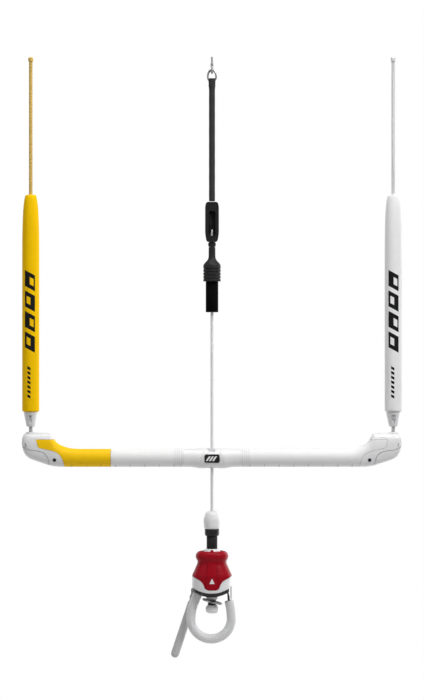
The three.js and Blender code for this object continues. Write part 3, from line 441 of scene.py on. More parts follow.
def ring_rows(centre, half_a, half_b, power=2.0, steps=96):
    """Points round a rounded section, as offsets (a, b) from its middle."""
    points = []
    for i in range(steps):
        angle = 2 * pi * i / steps
        a, b = cos(angle), sin(angle)
        points.append((centre + half_a * abs(a) ** (2 / power) * (1 if a > 0 else -1),
                       half_b * abs(b) ** (2 / power) * (1 if b > 0 else -1)))
    return points


def block(left, right, low, high, near, far):
    """A square-cornered block between its six sides."""
    return plate([(left, low), (right, low), (right, high), (left, high)], near, far)


def rod(radius, low, high, x=0.0, steps=64):
    """An upright round bar."""
    form = bmesh.new()
    bmesh.ops.create_cone(form, cap_ends=True, segments=steps, radius1=radius, radius2=radius,
                          depth=high - low, matrix=Matrix.Translation((x, 0, (low + high) / 2)))
    return form


def cross_rod(radius, near, far, x, z, steps=48):
    """A round bar along Y."""
    form = rod(radius, -(far - near) / 2, (far - near) / 2, steps=steps)
    form.transform(Matrix.Translation((x, (near + far) / 2, z)) @ Matrix.Rotation(radians(90), 4, "X"))
    return form


grey_shell = moulded("satin_grey_nylon", (0.80, 0.80, 0.81), 0.34, 0.03)
white_shell = moulded("satin_white_nylon", (0.86, 0.86, 0.87), 0.32, 0.02)
cone_low, cone_high = node_box("float_cone_left")
cone_foot, cone_top = cone_low.z, cone_high.z
for side, x in leader_x.items():
    cone = turned([(BORE, cone_foot + 0.5), (BORE + 0.5, cone_foot), (5.2, cone_foot),
                   (5.8, cone_foot + 0.6), (6.25, cone_foot + 2.2), (9.3, cone_top - 2.6),
                   (9.75, cone_top - 1.0), (9.5, cone_top - 0.25), (8.9, cone_top), (BORE, cone_top)],
                  x, 96, closed=True)
    window = plate([(x - 1.9, cone_foot + 5.6), (x + 1.9, cone_foot + 5.6), (x + 2.6, cone_top - 4.2),
                    (x - 2.6, cone_top - 4.2)], -14, -5.4)
    knot_room = turned([(0, cone_foot - 1), (3.9, cone_foot - 1), (3.9, cone_foot + 3.4),
                        (3, cone_foot + 6), (0, cone_foot + 6.2)], x, 48)
    piece(f"cone_{side}", cut(cone, window, knot_room), f"{side}_float", grey_shell,
          [f"float_cone_{side}"], edge=0.35, sharp=34)
    rib = plate([(x - 2.3, cone_foot + 11.4), (x + 2.3, cone_foot + 11.4), (x + 2.4, cone_foot + 12.6),
                 (x - 2.4, cone_foot + 12.6)], -7.4, -5.2)
    piece(f"cone_rib_{side}", rib, f"{side}_float", grey_shell, edge=0.3)

# ---- Bar ends: cap, bumper and neck ----
# Each end is one smooth form: a raised head over the leader, a waist and a neck that runs out into the bar.
# The moulded cap is overlapped from below by a softer bumper and from the inside by the grip's rubber.
BAR_Z = joint_place("bar_tilt")["pos_m"][2] / MM
TIP_X = node_box("end_cap_right")[1].x
# In from the tip: top and bottom above the axis, half depth and squareness.
END_STATIONS = [
    (0, 28, 14, 7, 2.4), (0.8, 30.4, 11.2, 8.8, 2.5), (2.6, 32.6, 6.6, 10.6, 2.6), (6, 34, 2.2, 12, 2.8),
    (12, 34.2, -1.7, 12.8, 2.9), (20, 34.2, -4.6, 13, 2.9), (30, 34.2, -8, 13, 2.9),
    (37, 33.7, -10.1, 13, 2.8), (40, 31.8, -10.8, 12.9, 2.7), (42.5, 27.4, -11.3, 12.8, 2.6),
    (45, 23.4, -11.7, 12.7, 2.5), (48.5, 19.9, -12, 12.6, 2.4), (53, 17.3, -12.2, 12.5, 2.2),
    (59, 15, -12.3, 12.4, 2.1), (67, 13, -12.3, 12.3, 2), (80, 12.3, -12.3, 12.3, 2),
    (320, 12.3, -12.3, 12.3, 2),
]


def slope_at(stations, column, k):
    """How fast one column of the table changes at row k, and not at all at a peak."""
    last = len(stations) - 1
    if k in (0, last):
        k = min(k, last - 1)
        return (stations[k + 1][column] - stations[k][column]) / (stations[k + 1][0] - stations[k][0])
    before = (stations[k][column] - stations[k - 1][column]) / (stations[k][0] - stations[k - 1][0])
    after = (stations[k + 1][column] - stations[k][column]) / (stations[k + 1][0] - stations[k][0])
    return 0 if before * after <= 0 else 2 * before * after / (before + after)


def blended(stations, place):
    """The table's values at a place, on smooth curves that keep between its rows."""
    places = [row[0] for row in stations]
    if place <= places[0]:
        return stations[0][1:]
    if place >= places[-1]:
        return stations[-1][1:]
    i = max(k for k, at in enumerate(places) if at <= place)
    span = places[i + 1] - places[i]
    t = (place - places[i]) / span
    values = []
    for column in range(1, len(stations[0])):
        first, last = stations[i][column], stations[i + 1][column]
        leaving, arriving = slope_at(stations, column, i), slope_at(stations, column, i + 1)
        values.append(first * (2 * t ** 3 - 3 * t * t + 1) + last * (3 * t * t - 2 * t ** 3)
                      + leaving * span * (t ** 3 - 2 * t * t + t) + arriving * span * (t ** 3 - t * t))
    return values


def places_between(low, high, step):
    count = max(1, ceil((high - low) / step))
    return [low + (high - low) * i / count for i in range(count + 1)]


def end_form(sign, reach):
    """The end and the bar inwards of it, as far from the tip as its reach."""
    fine = [0, 0.25, 0.6, 1.1, 1.8, 2.6, 3.6, 4.8, 6, 8, 10, 12, 15, 18] + places_between(21, 36, 3)
    fine += places_between(37, 84, 1.0) + places_between(90, reach, 12)
    rows = []
    for inset in fine:
        top, bottom, depth, power = blended(END_STATIONS, inset)
        ring = ring_rows((top + bottom) / 2, (top - bottom) / 2, depth, power, 112)
        rows.append([(sign * (TIP_X - inset), b, BAR_Z + a) for a, b in ring])
    form = skin(rows)
    tip = [face for face in form.faces
           if len(face.verts) > 4 and abs(face.verts[0].co.x - sign * TIP_X) < 0.01]
    bmesh.ops.inset_region(form, faces=tip, thickness=2.2, depth=0.5)
    return form


def edge_plate(sign, outline, near=-30, far=30):
    return plate([(sign * (TIP_X - inset), BAR_Z + height) for inset, height in outline], near, far)


GRIP_EDGE = [(19.1, 25.4), (43.6, 25.4), (43.6, 60), (340, 60), (340, -60), (58.4, -60), (58.2, -15),
             (57.6, -8.6), (56.2, -3.6), (54.6, 0.2), (52.7, 3.2), (49.5, 6.6), (45, 9), (38, 11),
             (31.5, 12.3), (22.9, 14.3)]
BUMPER_EDGE = [(-9, 18), (-3, 16.6), (1.6, 15.2), (5.6, 12.9), (9.3, 11.4), (13, 10.6), (17, 10.2),
               (21, 9.8), (24.8, 8.9), (28.4, 7.6), (31.6, 5.6), (33.8, 2.6), (35.4, -1.1), (36.5, -4.8),
               (37.3, -8.8), (38.8, -60), (-9, -60)]


# The outline moved out square to itself, so that the pieces each side of it leave an even seam.
def widened(outline, gap):
    moved = []
    count = len(outline)
    turn = sum(outline[i][0] * outline[(i + 1) % count][1] - outline[(i + 1) % count][0] * outline[i][1]
               for i in range(count))
    for i, point in enumerate(outline):
        before = Vector(point) - Vector(outline[i - 1])
        after = Vector(outline[(i + 1) % count]) - Vector(point)
        normal = before.normalized() + after.normalized()
        normal = Vector((normal.y, -normal.x)).normalized() * (1 if turn > 0 else -1)
        square = Vector((before.normalized().y, -before.normalized().x)) * (1 if turn > 0 else -1)
        moved.append(tuple(Vector(point) + normal * gap / max(0.4, normal.dot(square))))
    return moved


def grip(name, colour):
    finish = Finish(name, colour, 0.58, specular=0.2)
    under = finish.z < BAR_Z - 8.8
    notch_at = ((abs(finish.x) - 62) / 20).maths("FRACT")
    notches = (abs(notch_at - 0.5) < 0.035) * under
    near_middle = (abs(finish.x) > 41.5) * (abs(finish.x) < 53.5)
    rings = ((abs(finish.x) - 41.5) / 3.0).maths("FRACT")
    ring_lines = (rings < 0.16) * near_middle
    waffle_x = (finish.x * (2 * pi / 2.4)).maths("SINE")
    round_bar = (finish.z - BAR_Z).maths("ARCTAN2", finish.y) * 32
    waffle = waffle_x * round_bar.maths("SINE")
    tone = finish.mix(finish.noise(18, 4), [channel * 0.95 for channel in colour], colour)
    # The ring grooves and under notches are bumped in, and their colour is painted darker as shade in the
    # grooves.
    lines = (ring_lines + notches).maths("MINIMUM", 1.0)
    finish.set("Base Color", finish.mix(lines * 0.45, tone, [channel * 0.35 for channel in colour]))
    finish.set("Roughness", finish.noise(2, 4) * 0.2 + 0.48)
    finish.bump(waffle * 0.22 + finish.noise(0.4, 2) * 0.25 - lines * 1.2, 0.16)
    return finish.material


yellow_grip = grip("yellow_grip_rubber", (0.98, 0.60, 0.0))
white_grip = grip("white_grip_rubber", (0.88, 0.88, 0.88))
split_x = node_box("grip_yellow_left")[1].x
centre_x = node_box("centre_shell_front")[1].x
SCREW_INSET, SCREW_HEIGHT = 44.5, -2.6
grips = {"left": (yellow_grip, "yellow_grip", "grip_yellow_left", TIP_X + split_x, grey_shell,
                  "grey_shell"),
         "right": (white_grip, "white_grip", "grip_white_right", TIP_X - centre_x - 0.3, white_shell,
                   "white_shell")}
for side, (rubber, rubber_slot, grip_node, reach, shell, shell_slot) in grips.items():
    sign = -1 if side == "left" else 1
    x = leader_x[side]
    cap_top = node_box(f"end_cap_{side}")[1].z
    way = turned([(0, knot_z - 12), (5.1, knot_z - 12), (5.1, knot_z), (4.2, knot_z + 2.4),
                  (3.7, knot_z + 3), (8.2, cap_top + 4), (0, cap_top + 4)], x, 64)
    collar_seat = rod(7.5, cap_top - 2.6, cap_top + 6, x)
    screw_x, screw_z = sign * (TIP_X - SCREW_INSET), BAR_Z + SCREW_HEIGHT
    screw_hole = cross_rod(2.5, -30, -9.6, screw_x, screw_z)
    dark_slot = plate([(sign * (TIP_X - inset), BAR_Z + height) for inset, height in
                       ((4.4, 20.4), (5.6, 20.4), (6.4, 15.4), (5.0, 15.2))], -30, -9.8)
    cap = cut(end_form(sign, 60), edge_plate(sign, widened(GRIP_EDGE, 0.3)),
              edge_plate(sign, widened(BUMPER_EDGE, 0.6)), way, collar_seat, screw_hole, dark_slot)
    piece(f"cap_{side}", cap, "bar", shell, [f"end_cap_{side}"], edge=0.45, sharp=36)
    bumper = cut(end_form(sign, 60), edge_plate(sign, BUMPER_EDGE), keep=True)
    knot_seat = turned([(0, knot_z - 12), (5.1, knot_z - 12), (5.1, knot_z + 6), (0, knot_z + 6)], x, 48)
    piece(f"bumper_{side}", cut(bumper, knot_seat), "bar", shell, [f"end_bumper_{side}"],
          edge=0.45, sharp=36)
    rubber_form = cut(end_form(sign, reach), edge_plate(sign, GRIP_EDGE), keep=True)
    bar_room = skin([[(sign * place, b, BAR_Z + a) for a, b in ring_rows(0, 9.8, 9.8)]
                     for place in (TIP_X - reach - 1, TIP_X - 52)])
    piece(f"rubber_{side}", cut(rubber_form, bar_room), "bar", rubber, [grip_node], edge=0.4,
          sharp=36)
inner_grip = skin([[(place, b, BAR_Z + a) for a, b in ring_rows(0, 12.3 - drop, 12.3 - drop, 2, 112)]
                   for place, drop in [(split_x + 0.3, 0.4), (split_x + 0.45, 0.12), (split_x + 0.8, 0.0)]
                   + [(p, 0.0) for p in places_between(split_x + 6, -centre_x - 6, 12)]
                   + [(-centre_x - 0.8, 0.0), (-centre_x - 0.45, 0.12), (-centre_x - 0.3, 0.4)]])
inner_room = skin([[(place, b, BAR_Z + a) for a, b in ring_rows(0, 9.8, 9.8)]
                   for place in (split_x - 2, -centre_x + 2)])
piece("rubber_inner_left", cut(inner_grip, inner_room), "bar", white_grip,
      ["grip_white_left"], sharp=50)


# ---- Line grommets and end screws ----
# A turned plastic collar guides each leader into its cap. The caps are screwed on from the front with
# socket-head screws that sit in deep recesses.
steel = machined("brushed_steel", (0.62, 0.62, 0.63), 0.3)
dark_steel = machined("blackened_steel", (0.10, 0.10, 0.11), 0.4)
for side, x in leader_x.items():
    low, high = node_box(f"line_grommet_{side}")
    collar = turned([(4.9, low.z + 0.2), (5.1, low.z), (7.2, low.z), (7.2, high.z - 1.1),
                     (6.9, high.z - 0.35), (6.3, high.z), (6.05, high.z - 0.2), (5.9, high.z - 0.8)],
                    x, 72, closed=True)
    piece(f"grommet_{side}", collar, "bar", grey_shell if side == "left" else white_shell,
          [f"line_grommet_{side}"], sharp=50)
    low, high = node_box(f"end_screw_{side}")
    middle_x, middle_z = (low.x + high.x) / 2, (low.z + high.z) / 2
    head = cross_rod(2.2, low.y, high.y, middle_x, middle_z)
    socket = skin([[(middle_x + 1.15 * cos(pi * i / 3), y,
                     middle_z + 1.15 * sin(pi * i / 3)) for i in range(6)]
                   for y in (low.y - 1, low.y + 1.4)])
    # The blackened steel darkens the screw heads, partly as painted shade of their deep recesses.
    piece(f"screw_{side}", cut(head, socket), "bar", dark_steel, [f"end_screw_{side}"], edge=0.2)


# ---- Bar centre ----
# Two screwed nylon shells, a little fuller than the grips, hold the line's insert. A small badge with
# slanted stripes fills a seat in the front one, on a panel that a fine moulded line goes round.
def rounded(outline, radius, steps=5):
    """The outline with each corner turned on a radius."""
    made = []
    count = len(outline)
    for i, point in enumerate(outline):
        corner = Vector(point)
        before = Vector(outline[i - 1]) - corner
        after = Vector(outline[(i + 1) % count]) - corner
        reach = min(radius, before.length * 0.48, after.length * 0.48)
        first, last = corner + before.normalized() * reach, corner + after.normalized() * reach
        for k in range(steps + 1):
            t = k / steps
            made.append(tuple(first * (1 - t) ** 2 + corner * 2 * t * (1 - t) + last * t * t))
    return made


shell_finish = Finish("centre_nylon", (0.86, 0.86, 0.87), 0.34)
height = shell_finish.z - BAR_Z
panel_side = abs(abs(shell_finish.x) - 14.2 + height * 0.32) < 0.28
panel_groove_and_shade = panel_side * (shell_finish.y < 0) * (abs(height - 0.5) < 8.5)
shell_tone = shell_finish.mix(shell_finish.noise(26, 4), (0.82, 0.82, 0.83), (0.87, 0.87, 0.88))
# The fine line round the panel is a shallow groove, and its colour is painted dark as shade in it.
shell_finish.set("Base Color", shell_finish.mix(panel_groove_and_shade * 0.5, shell_tone, (0.3, 0.3, 0.3)))
shell_finish.set("Roughness", shell_finish.noise(4.5, 5, 0.7) * 0.24 + 0.22)
shell_finish.bump(shell_finish.noise(0.38, 2) - panel_groove_and_shade * 6, 0.04)


def shell_rows():
    sections = [(39.5, 12.3, 12.3), (30, 12.3, 12.3), (23, 12.9, 13.2), (17, 13.7, 14.2), (9, 13.8, 14.4)]
    rows = []
    for place in places_between(-centre_x, centre_x, 1.5):
        depth, drop = blended(sorted((s[0], *s[1:]) for s in sections), max(9, abs(place)))
        top = 12.3 + (depth - 12.3) * 0.35
        ring = ring_rows((top - drop) / 2, (top + drop) / 2, depth, 2.1, 112)
        rows.append([(place, b, BAR_Z + a) for a, b in ring])
    return rows


def stadium_plate(half_x, half_y, low, high):
    outline = []
    for i in range(64):
        angle = 2 * pi * i / 64
        shift = (half_x - half_y) * (1 if cos(angle) > 0 else -1)
        outline.append((shift + half_y * cos(angle), half_y * sin(angle)))
    return skin([[(a, b, z) for a, b in outline] for z in (low, high)])


tube_room = skin([[(place, b, BAR_Z + a) for a, b in ring_rows(0, 9.8, 9.8)] for place in (-45, 45)])
shells = cut(skin(shell_rows()), tube_room, stadium_plate(9.8, 6.5, BAR_Z - 30, BAR_Z + 30),
             plate(rounded([(-4.4, BAR_Z + 8.2), (4.4, BAR_Z + 8.2), (4.9, BAR_Z + 20),
                            (-4.9, BAR_Z + 20)], 1.4),
                   -20, -5),
             plate([(-11, BAR_Z - 6.0), (-10, BAR_Z - 6.9), (10, BAR_Z - 6.9), (11, BAR_Z - 6.0),
                    (11, BAR_Z + 5.0), (10, BAR_Z + 5.9), (-10, BAR_Z + 5.9), (-11, BAR_Z + 5.0)],
                   -20, -12.5))
holes = [cross_rod(2.7, 11, 20, place, BAR_Z) for place in (-25, 25)]
for half, (near, far), cutters in (("front", (-30, -0.15), ()), ("back", (0.15, 30), holes)):
    region = block(-60, 60, BAR_Z - 30, BAR_Z + 30, near, far)
    half_form = cut(shells.copy(), region, keep=True)
    if cutters:
        half_form = cut(half_form, *cutters)
    piece(f"centre_{half}", half_form, "bar", shell_finish.material,
          [f"centre_shell_{half}"], edge=0.35, sharp=36)
shells.free()
for side in ("left", "right"):
    low, high = node_box(f"centre_screw_{side}")
    middle_x = (low.x + high.x) / 2
    head = cross_rod(2.4, low.y, high.y, middle_x, BAR_Z)
    slit = block(middle_x - 0.45, middle_x + 0.45, BAR_Z - 1.6, BAR_Z + 1.6, high.y - 0.8, high.y + 1)
    piece(f"shell_screw_{side}", cut(head, slit), "bar", steel, [f"centre_screw_{side}"], edge=0.2)

badge_finish = Finish("badge_ink", (0.012, 0.012, 0.012), 0.25, coat=0.3)
leaning = badge_finish.x - (badge_finish.z - BAR_Z + 0.5) * 0.7
stripe = (leaning / 4.4 + 0.5).maths("FRACT") < 0.62
in_field = (abs(leaning) < 6.4) * (abs(badge_finish.z - BAR_Z + 0.5) < 3.2)
badge_finish.set("Base Color", badge_finish.mix(stripe * in_field, (0.008, 0.008, 0.008),
                                                (0.88, 0.88, 0.88)))
badge_finish.set("Roughness", badge_finish.noise(3, 4) * 0.2 + 0.2)
low, high = node_box("badge_plate")
corner = 2.0
badge_outline = []
for cx, cz, start in ((high.x, high.z, 0), (low.x, high.z, 90), (low.x, low.z, 180), (high.x, low.z, 270)):
    mx = cx - corner if cx > 0 else cx + corner
    mz = cz - corner if cz > (low.z + high.z) / 2 else cz + corner
    badge_outline += [(mx + corner * cos(radians(start + 15 * i)),
                       mz + corner * sin(radians(start + 15 * i)))
                      for i in range(7)]
piece("badge", plate(badge_outline, low.y, high.y), "bar", badge_finish.material,
      ["badge_plate"], edge=0.35)

# ---- Line insert and bush ----
# A plastic insert funnels the line through the bar, and the bar rocks on a turned aluminium bush inside it.
# Both are carried over as they are, with their finishes.
def dress(node, finish):
    """Gives a carried-over node its finish."""
    carried = frame["nodes"][node]
    for material_slot in carried.material_slots:
        material_slot.material = finish


aluminium = machined("turned_aluminium", (0.70, 0.70, 0.71), 0.38)
dress("line_insert", grey_shell)
dress("line_bush", aluminium)
dress("bar_tube", aluminium)


# ---- Head: steel ring and the kite line's loop ----
# The front line is grey braid that ends in a whipped eye. The eye is hitched round a pear-shaped ring, bent
# from steel wire and welded.
def swept(points, radius, sides=28, closed=False):
    """A round tube along points, its section carried without twist."""
    points = [Vector(point) for point in points]
    count = len(points)
    rows = []
    side = None
    for i, point in enumerate(points):
        if closed:
            way = points[(i + 1) % count] - points[i - 1]
        else:
            way = points[min(i + 1, count - 1)] - points[max(i - 1, 0)]
        way.normalize()
        if side is None:
            side = Vector((0, 1, 0)) if abs(way.y) < 0.9 else Vector((1, 0, 0))
        side = (side - way * side.dot(way)).normalized()
        other = way.cross(side)
        size = radius(i / (count - 1)) if callable(radius) else radius
        rows.append([point + (side * cos(2 * pi * k / sides) + other * sin(2 * pi * k / sides)) * size
                     for k in range(sides)])
    return skin(rows, closed)


ring_low, ring_high = node_box("head_ring")
ring_middle = (ring_low.z + ring_high.z) / 2
ring_half = (ring_high.z - ring_low.z) / 2 - 1.5
ring_points = []
for i in range(72):
    angle = 2 * pi * i / 72
    width = 5.6 * (1 - 0.12 * sin(angle))
    ring_points.append((width * cos(angle), 0, ring_middle + ring_half * sin(angle)))
piece("ring", swept(ring_points, 1.5, 24, closed=True), "head", steel, ["head_ring"], sharp=60)

front_braid = braided("front_line_braid", (0.42, 0.42, 0.43), 0.0, 4, 2.6, 0.14, 0.6)
loop_high = node_box("front_line_loop")[1]
eye_radius = 4.05
eye_z = ring_high.z - 1.5
eye = swept([(0, eye_radius * cos(2 * pi * i / 48), eye_z + eye_radius * sin(2 * pi * i / 48))
             for i in range(48)], 1.42, 20, closed=True)
piece("front_line_eye", eye, "head", front_braid, ["front_line_loop"], sharp=60)
stand = turned([(0, eye_z + eye_radius - 0.6), (1.45, eye_z + eye_radius - 0.4),
                (1.9, eye_z + eye_radius + 0.6)]
               + [(1.9 + 0.12 * (-1) ** k, eye_z + eye_radius + 0.9 + 0.4 * k) for k in range(11)]
               + [(1.45, eye_z + eye_radius + 5.6), (1.42, loop_high.z), (0, loop_high.z)], 0.0, 32)
piece("front_line", stand, "head", front_braid, sharp=60)

# ---- Trim line in its sleeve ----
# The trim line is black braid, doubled over the steel ring. It runs down to the cleat inside a woven black
# sleeve that is sewn round it.
webbing = braided("trim_line_braid", (0.022, 0.022, 0.024), 0.0, 4, 2.4, 0.14, 0.4)
WRAP = 3.3
trim_low, trim_high = node_box("trim_line")
trim_bend = [(0, -1.6, trim_low.z), (0, -1.6, trim_low.z + 40), (0, -1.6, trim_low.z + 80),
             (0, -1.6, trim_low.z + 120), (0, -1.6, ring_low.z - 10), (0, -1.85, ring_low.z - 7.5),
             (0, -2.6, ring_low.z - 5), (0, -3.1, ring_low.z - 2.2)]
trim_bow = [(0, WRAP * cos(pi - pi * i / 16), ring_low.z + WRAP * sin(pi - pi * i / 16)) for i in range(17)]
trim_run = trim_bend + trim_bow + [(0, -y, z) for _, y, z in reversed(trim_bend)]
trim_strands = piece("trim_strands", swept(trim_run, 1.5, 20), "head", webbing,
                     ["trim_line"], sharp=60)
TRIM_TRAVEL = joint_place("trim")["range_m"][1] / MM
1 - TRIM_TRAVEL / (trim_high.z - trim_low.z)
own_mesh(trim_strands)

sleeve_low, sleeve_high = node_box("trim_sleeve")
sleeve_finish = Finish("woven_sleeve", (0.022, 0.022, 0.025), 0.62, specular=0.2)
around = sleeve_finish.x.maths("ARCTAN2", sleeve_finish.y) * 6
warp = (sleeve_finish.z * (2 * pi / 3.1) + around).maths("SINE")
weft = (sleeve_finish.z * (2 * pi / 3.1) - around).maths("SINE")
cloth = warp.maths("MAXIMUM", weft) * 0.5 + 0.5
# The colour darkens with the weave: painted shade between the threads.
sleeve_finish.set("Base Color", sleeve_finish.mix(cloth, (0.012, 0.012, 0.013), (0.045, 0.045, 0.048)))
sleeve_finish.set("Roughness", sleeve_finish.noise(0.6, 4) * 0.25 + 0.5)
sleeve_finish.bump(cloth + sleeve_finish.noise(0.3, 3) * 0.3, 0.3)
sleeve_profile = [(3.3, sleeve_low.z + 0.2), (3.6, sleeve_low.z), (4.0, sleeve_low.z),
                  (4.15, sleeve_low.z + 0.4)]
sleeve_profile += [(4.15 + 0.05 * sin(place / 3.4), place)
                   for place in places_between(sleeve_low.z + 1.5, sleeve_high.z - 16, 1.2)]
sleeve_profile += [(4.25, sleeve_high.z - 14), (4.6, sleeve_high.z - 11), (5.0, sleeve_high.z - 8),
                   (5.2, sleeve_high.z - 5.5), (5.25, sleeve_high.z - 1), (5.0, sleeve_high.z),
                   (4.6, sleeve_high.z), (4.4, sleeve_high.z - 1), (4.2, sleeve_high.z - 6),
                   (3.3, sleeve_high.z - 14)]
sleeve = turned(sleeve_profile, 0.0, 72, closed=True)
ring_gap = block(-9, 9, ring_low.z - 2.4, sleeve_high.z + 2, -2.1, 2.1)
sleeve_piece = piece("sleeve", cut(sleeve, ring_gap), "head", sleeve_finish.material,
                     ["trim_sleeve"], sharp=50)
1 - TRIM_TRAVEL / (sleeve_high.z - sleeve_low.z)
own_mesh(sleeve_piece)


# ---- Cleat ----
# A black nylon body and a back cover, pinned together. The line is jammed on a toothed jaw that shows in a
# rounded slot.
black_plastic = moulded("black_nylon", (0.016, 0.016, 0.017), 0.36, 0.1, 0.03, specular=0.35)
black_rubber = moulded("black_rubber", (0.020, 0.020, 0.021), 0.6, 0.1, 0.04, specular=0.25)
LINE_BORE = 2.35
CLEAT_TOP = node_box("cleat_body")[1].z
CLEAT_FOOT = node_box("cleat_body")[0].z
SLOT_TOP, SLOT_FOOT = CLEAT_TOP - 13.5, CLEAT_FOOT + 8


def cleat_outline(shrink):
    half = 9.4 - shrink
    return rounded([(-half, CLEAT_FOOT + 11), (-half + 1.9, CLEAT_FOOT + shrink),
                    (half - 1.9, CLEAT_FOOT + shrink), (half, CLEAT_FOOT + 11), (half, CLEAT_TOP - 7),
                    (half - 1.6, CLEAT_TOP - shrink - 1), (-half + 1.6, CLEAT_TOP - shrink - 1),
                    (-half, CLEAT_TOP - 7)], 3.4)


def slot_plate(half, near, far):
    corners = [(-half, SLOT_FOOT), (half, SLOT_FOOT), (half, SLOT_TOP), (-half, SLOT_TOP)]
    return plate(rounded(corners, 3.2, 8), near, far)


pin_places = [CLEAT_TOP - 7, CLEAT_FOOT + 4.4]
cleat_body = plate(cleat_outline(0), -7, 4.8)
recess = slot_plate(5.0, -8, -5.6)
cleat_holes = [cross_rod(1.65, -8, 8, 5.1, place) for place in pin_places]
cleat_bore = rod(LINE_BORE, CLEAT_FOOT - 1, SLOT_FOOT + 1)
piece("cleat", cut(cleat_body, slot_plate(3.9, -9, 9), recess, cleat_bore, *cleat_holes), "centre_line",
      black_plastic, ["cleat_body"], edge=0.7, sharp=40)
cover_holes = [cross_rod(1.65, 2, 8, 5.1, place) for place in pin_places]
piece("cleat_back", cut(plate(cleat_outline(0.8), 5.1, 7), *cover_holes), "centre_line",
      black_plastic, ["cleat_cover"], edge=0.5, sharp=40)
for place, height in zip(("upper", "lower"), pin_places):
    piece(f"cleat_{place}_pin", cross_rod(1.6, -6.6, 6.6, 5.1, height), "centre_line", dark_steel,
          [f"cleat_pin_{place}"], edge=0.25)
dress("cleat_jaw", black_plastic)
for name, sway in (("left", -1.0), ("right", 1.0)):
    strand = swept([(sway * 0.8, 0.6, SLOT_TOP + 0.4), (sway * 1.85, 0.2, SLOT_TOP - 4),
                    (sway * 1.98, 0, SLOT_TOP - 12), (sway * 1.98, 0, SLOT_FOOT + 6),
                    (sway * 1.85, 0.3, SLOT_FOOT + 0.6)], 2.0, 24)
    piece(f"cleat_strand_{name}", strand, "centre_line", webbing, sharp=60)


# ---- Bead, boot and stopper ----
# Rubber parts threaded on the depower line: a bead, a ribbed boot under the cleat, and a dull soft sleeve
# that is slid along the line to set how far the bar can travel.
bead_low, bead_high = node_box("neck_bead")
piece("bead", turned([(LINE_BORE, bead_low.z), (4.2, bead_low.z + 0.1), (5.0, bead_low.z + 1.2),
                      (5.3, bead_low.z + 2.4), (5.3, bead_high.z - 2.4), (5.0, bead_high.z - 1.2),
                      (4.2, bead_high.z - 0.1), (LINE_BORE, bead_high.z)], closed=True), "centre_line",
      black_rubber, ["neck_bead"], sharp=60)
boot_low, boot_high = node_box("trim_boot")
ribs = []
for i in range(4):
    foot = boot_low.z + 4.4 * i
    ribs += [(11.7, foot), (12.0, foot + 0.35), (12.0, foot + 2.75), (11.7, foot + 3.1), (11.1, foot + 3.3),
             (11.1, foot + 4.15)]
shoulder = boot_low.z + 4.4 * 4
boot_profile = [(LINE_BORE, boot_low.z)] + ribs + [
    (11.7, shoulder), (12.0, shoulder + 0.35), (12.0, shoulder + 3.4), (11.8, shoulder + 4.6),
    (11.1, shoulder + 6.0), (10.0, shoulder + 7.4), (8.4, shoulder + 9.2), (6.8, shoulder + 10.9),
    (5.6, shoulder + 12.8), (5.0, shoulder + 14.4), (4.7, shoulder + 16.5), (4.6, boot_high.z - 0.4),
    (4.3, boot_high.z), (LINE_BORE, boot_high.z)]
piece("boot", turned(boot_profile, steps=96, closed=True), "centre_line", black_rubber,
      ["trim_boot"], sharp=34)

dull_rubber = moulded("dull_rubber", (0.004, 0.004, 0.004), 0.9, 0.1, 0.05, specular=0.05)
stop_low, stop_high = node_box("stopper_sleeve")
piece("stop_sleeve", turned([(6.7, stop_low.z + 0.2), (6.9, stop_low.z), (8.2, stop_low.z),
                             (8.6, stop_low.z + 0.4), (8.6, stop_high.z - 0.4), (8.2, stop_high.z),
                             (6.9, stop_high.z), (6.7, stop_high.z - 0.2)], closed=True), "stopper",
      dull_rubber, ["stopper_sleeve"], sharp=60)
dress("stopper_insert", black_plastic)


# ---- Swivel ----
# A satin white bullet over the line's end, a black collar below it and a short black tube round the stem.
STEM_BORE = 3.7
swivel_low, swivel_high = node_box("swivel_cap")
bullet_profile = [(radius, swivel_low.z + up) for radius, up in
                  ((6.6, 0.2), (6.9, 0), (10.1, 0), (10.4, 0.25), (10.75, 1.2), (11.0, 2.4), (11.25, 4.4),
                   (11.42, 6.5), (11.5, 9), (11.47, 11.2), (11.15, 11.4), (11.15, 11.7), (11.42, 11.9),
                   (11.1, 14.6), (10.4, 17.4), (9.5, 19.8), (8.3, 21.8), (6.9, 23.1), (5.4, 23.75))]
bullet_profile += [(4.0, swivel_high.z), (2.5, swivel_high.z), (LINE_BORE, swivel_high.z - 0.4),
                   (LINE_BORE, swivel_low.z + 11), (6.6, swivel_low.z + 11)]
piece("bullet", turned(bullet_profile, steps=96, closed=True), "centre_line", white_shell,
      ["swivel_cap"], sharp=34)
collar_low, collar_high = node_box("swivel_collar")
piece("collar", turned([(STEM_BORE, collar_low.z), (8.0, collar_low.z), (8.7, collar_low.z + 0.4),
                        (9.5, collar_low.z + 1.3), (9.95, collar_low.z + 2.4), (10.0, collar_high.z - 0.5),
                        (9.6, collar_high.z), (STEM_BORE, collar_high.z)], steps=96, closed=True),
      "centre_line", black_plastic, ["swivel_collar"], sharp=40)
tube_low, tube_high = node_box("swivel_tube")
piece("stem_tube", turned([(STEM_BORE, tube_low.z), (7.0, tube_low.z), (7.4, tube_low.z + 0.4),
                           (7.4, tube_high.z - 0.4), (7.0, tube_high.z), (STEM_BORE, tube_high.z)],
                          steps=72, closed=True), "release",
      black_rubber, ["swivel_tube"], sharp=60)
dress("swivel_stem", steel)

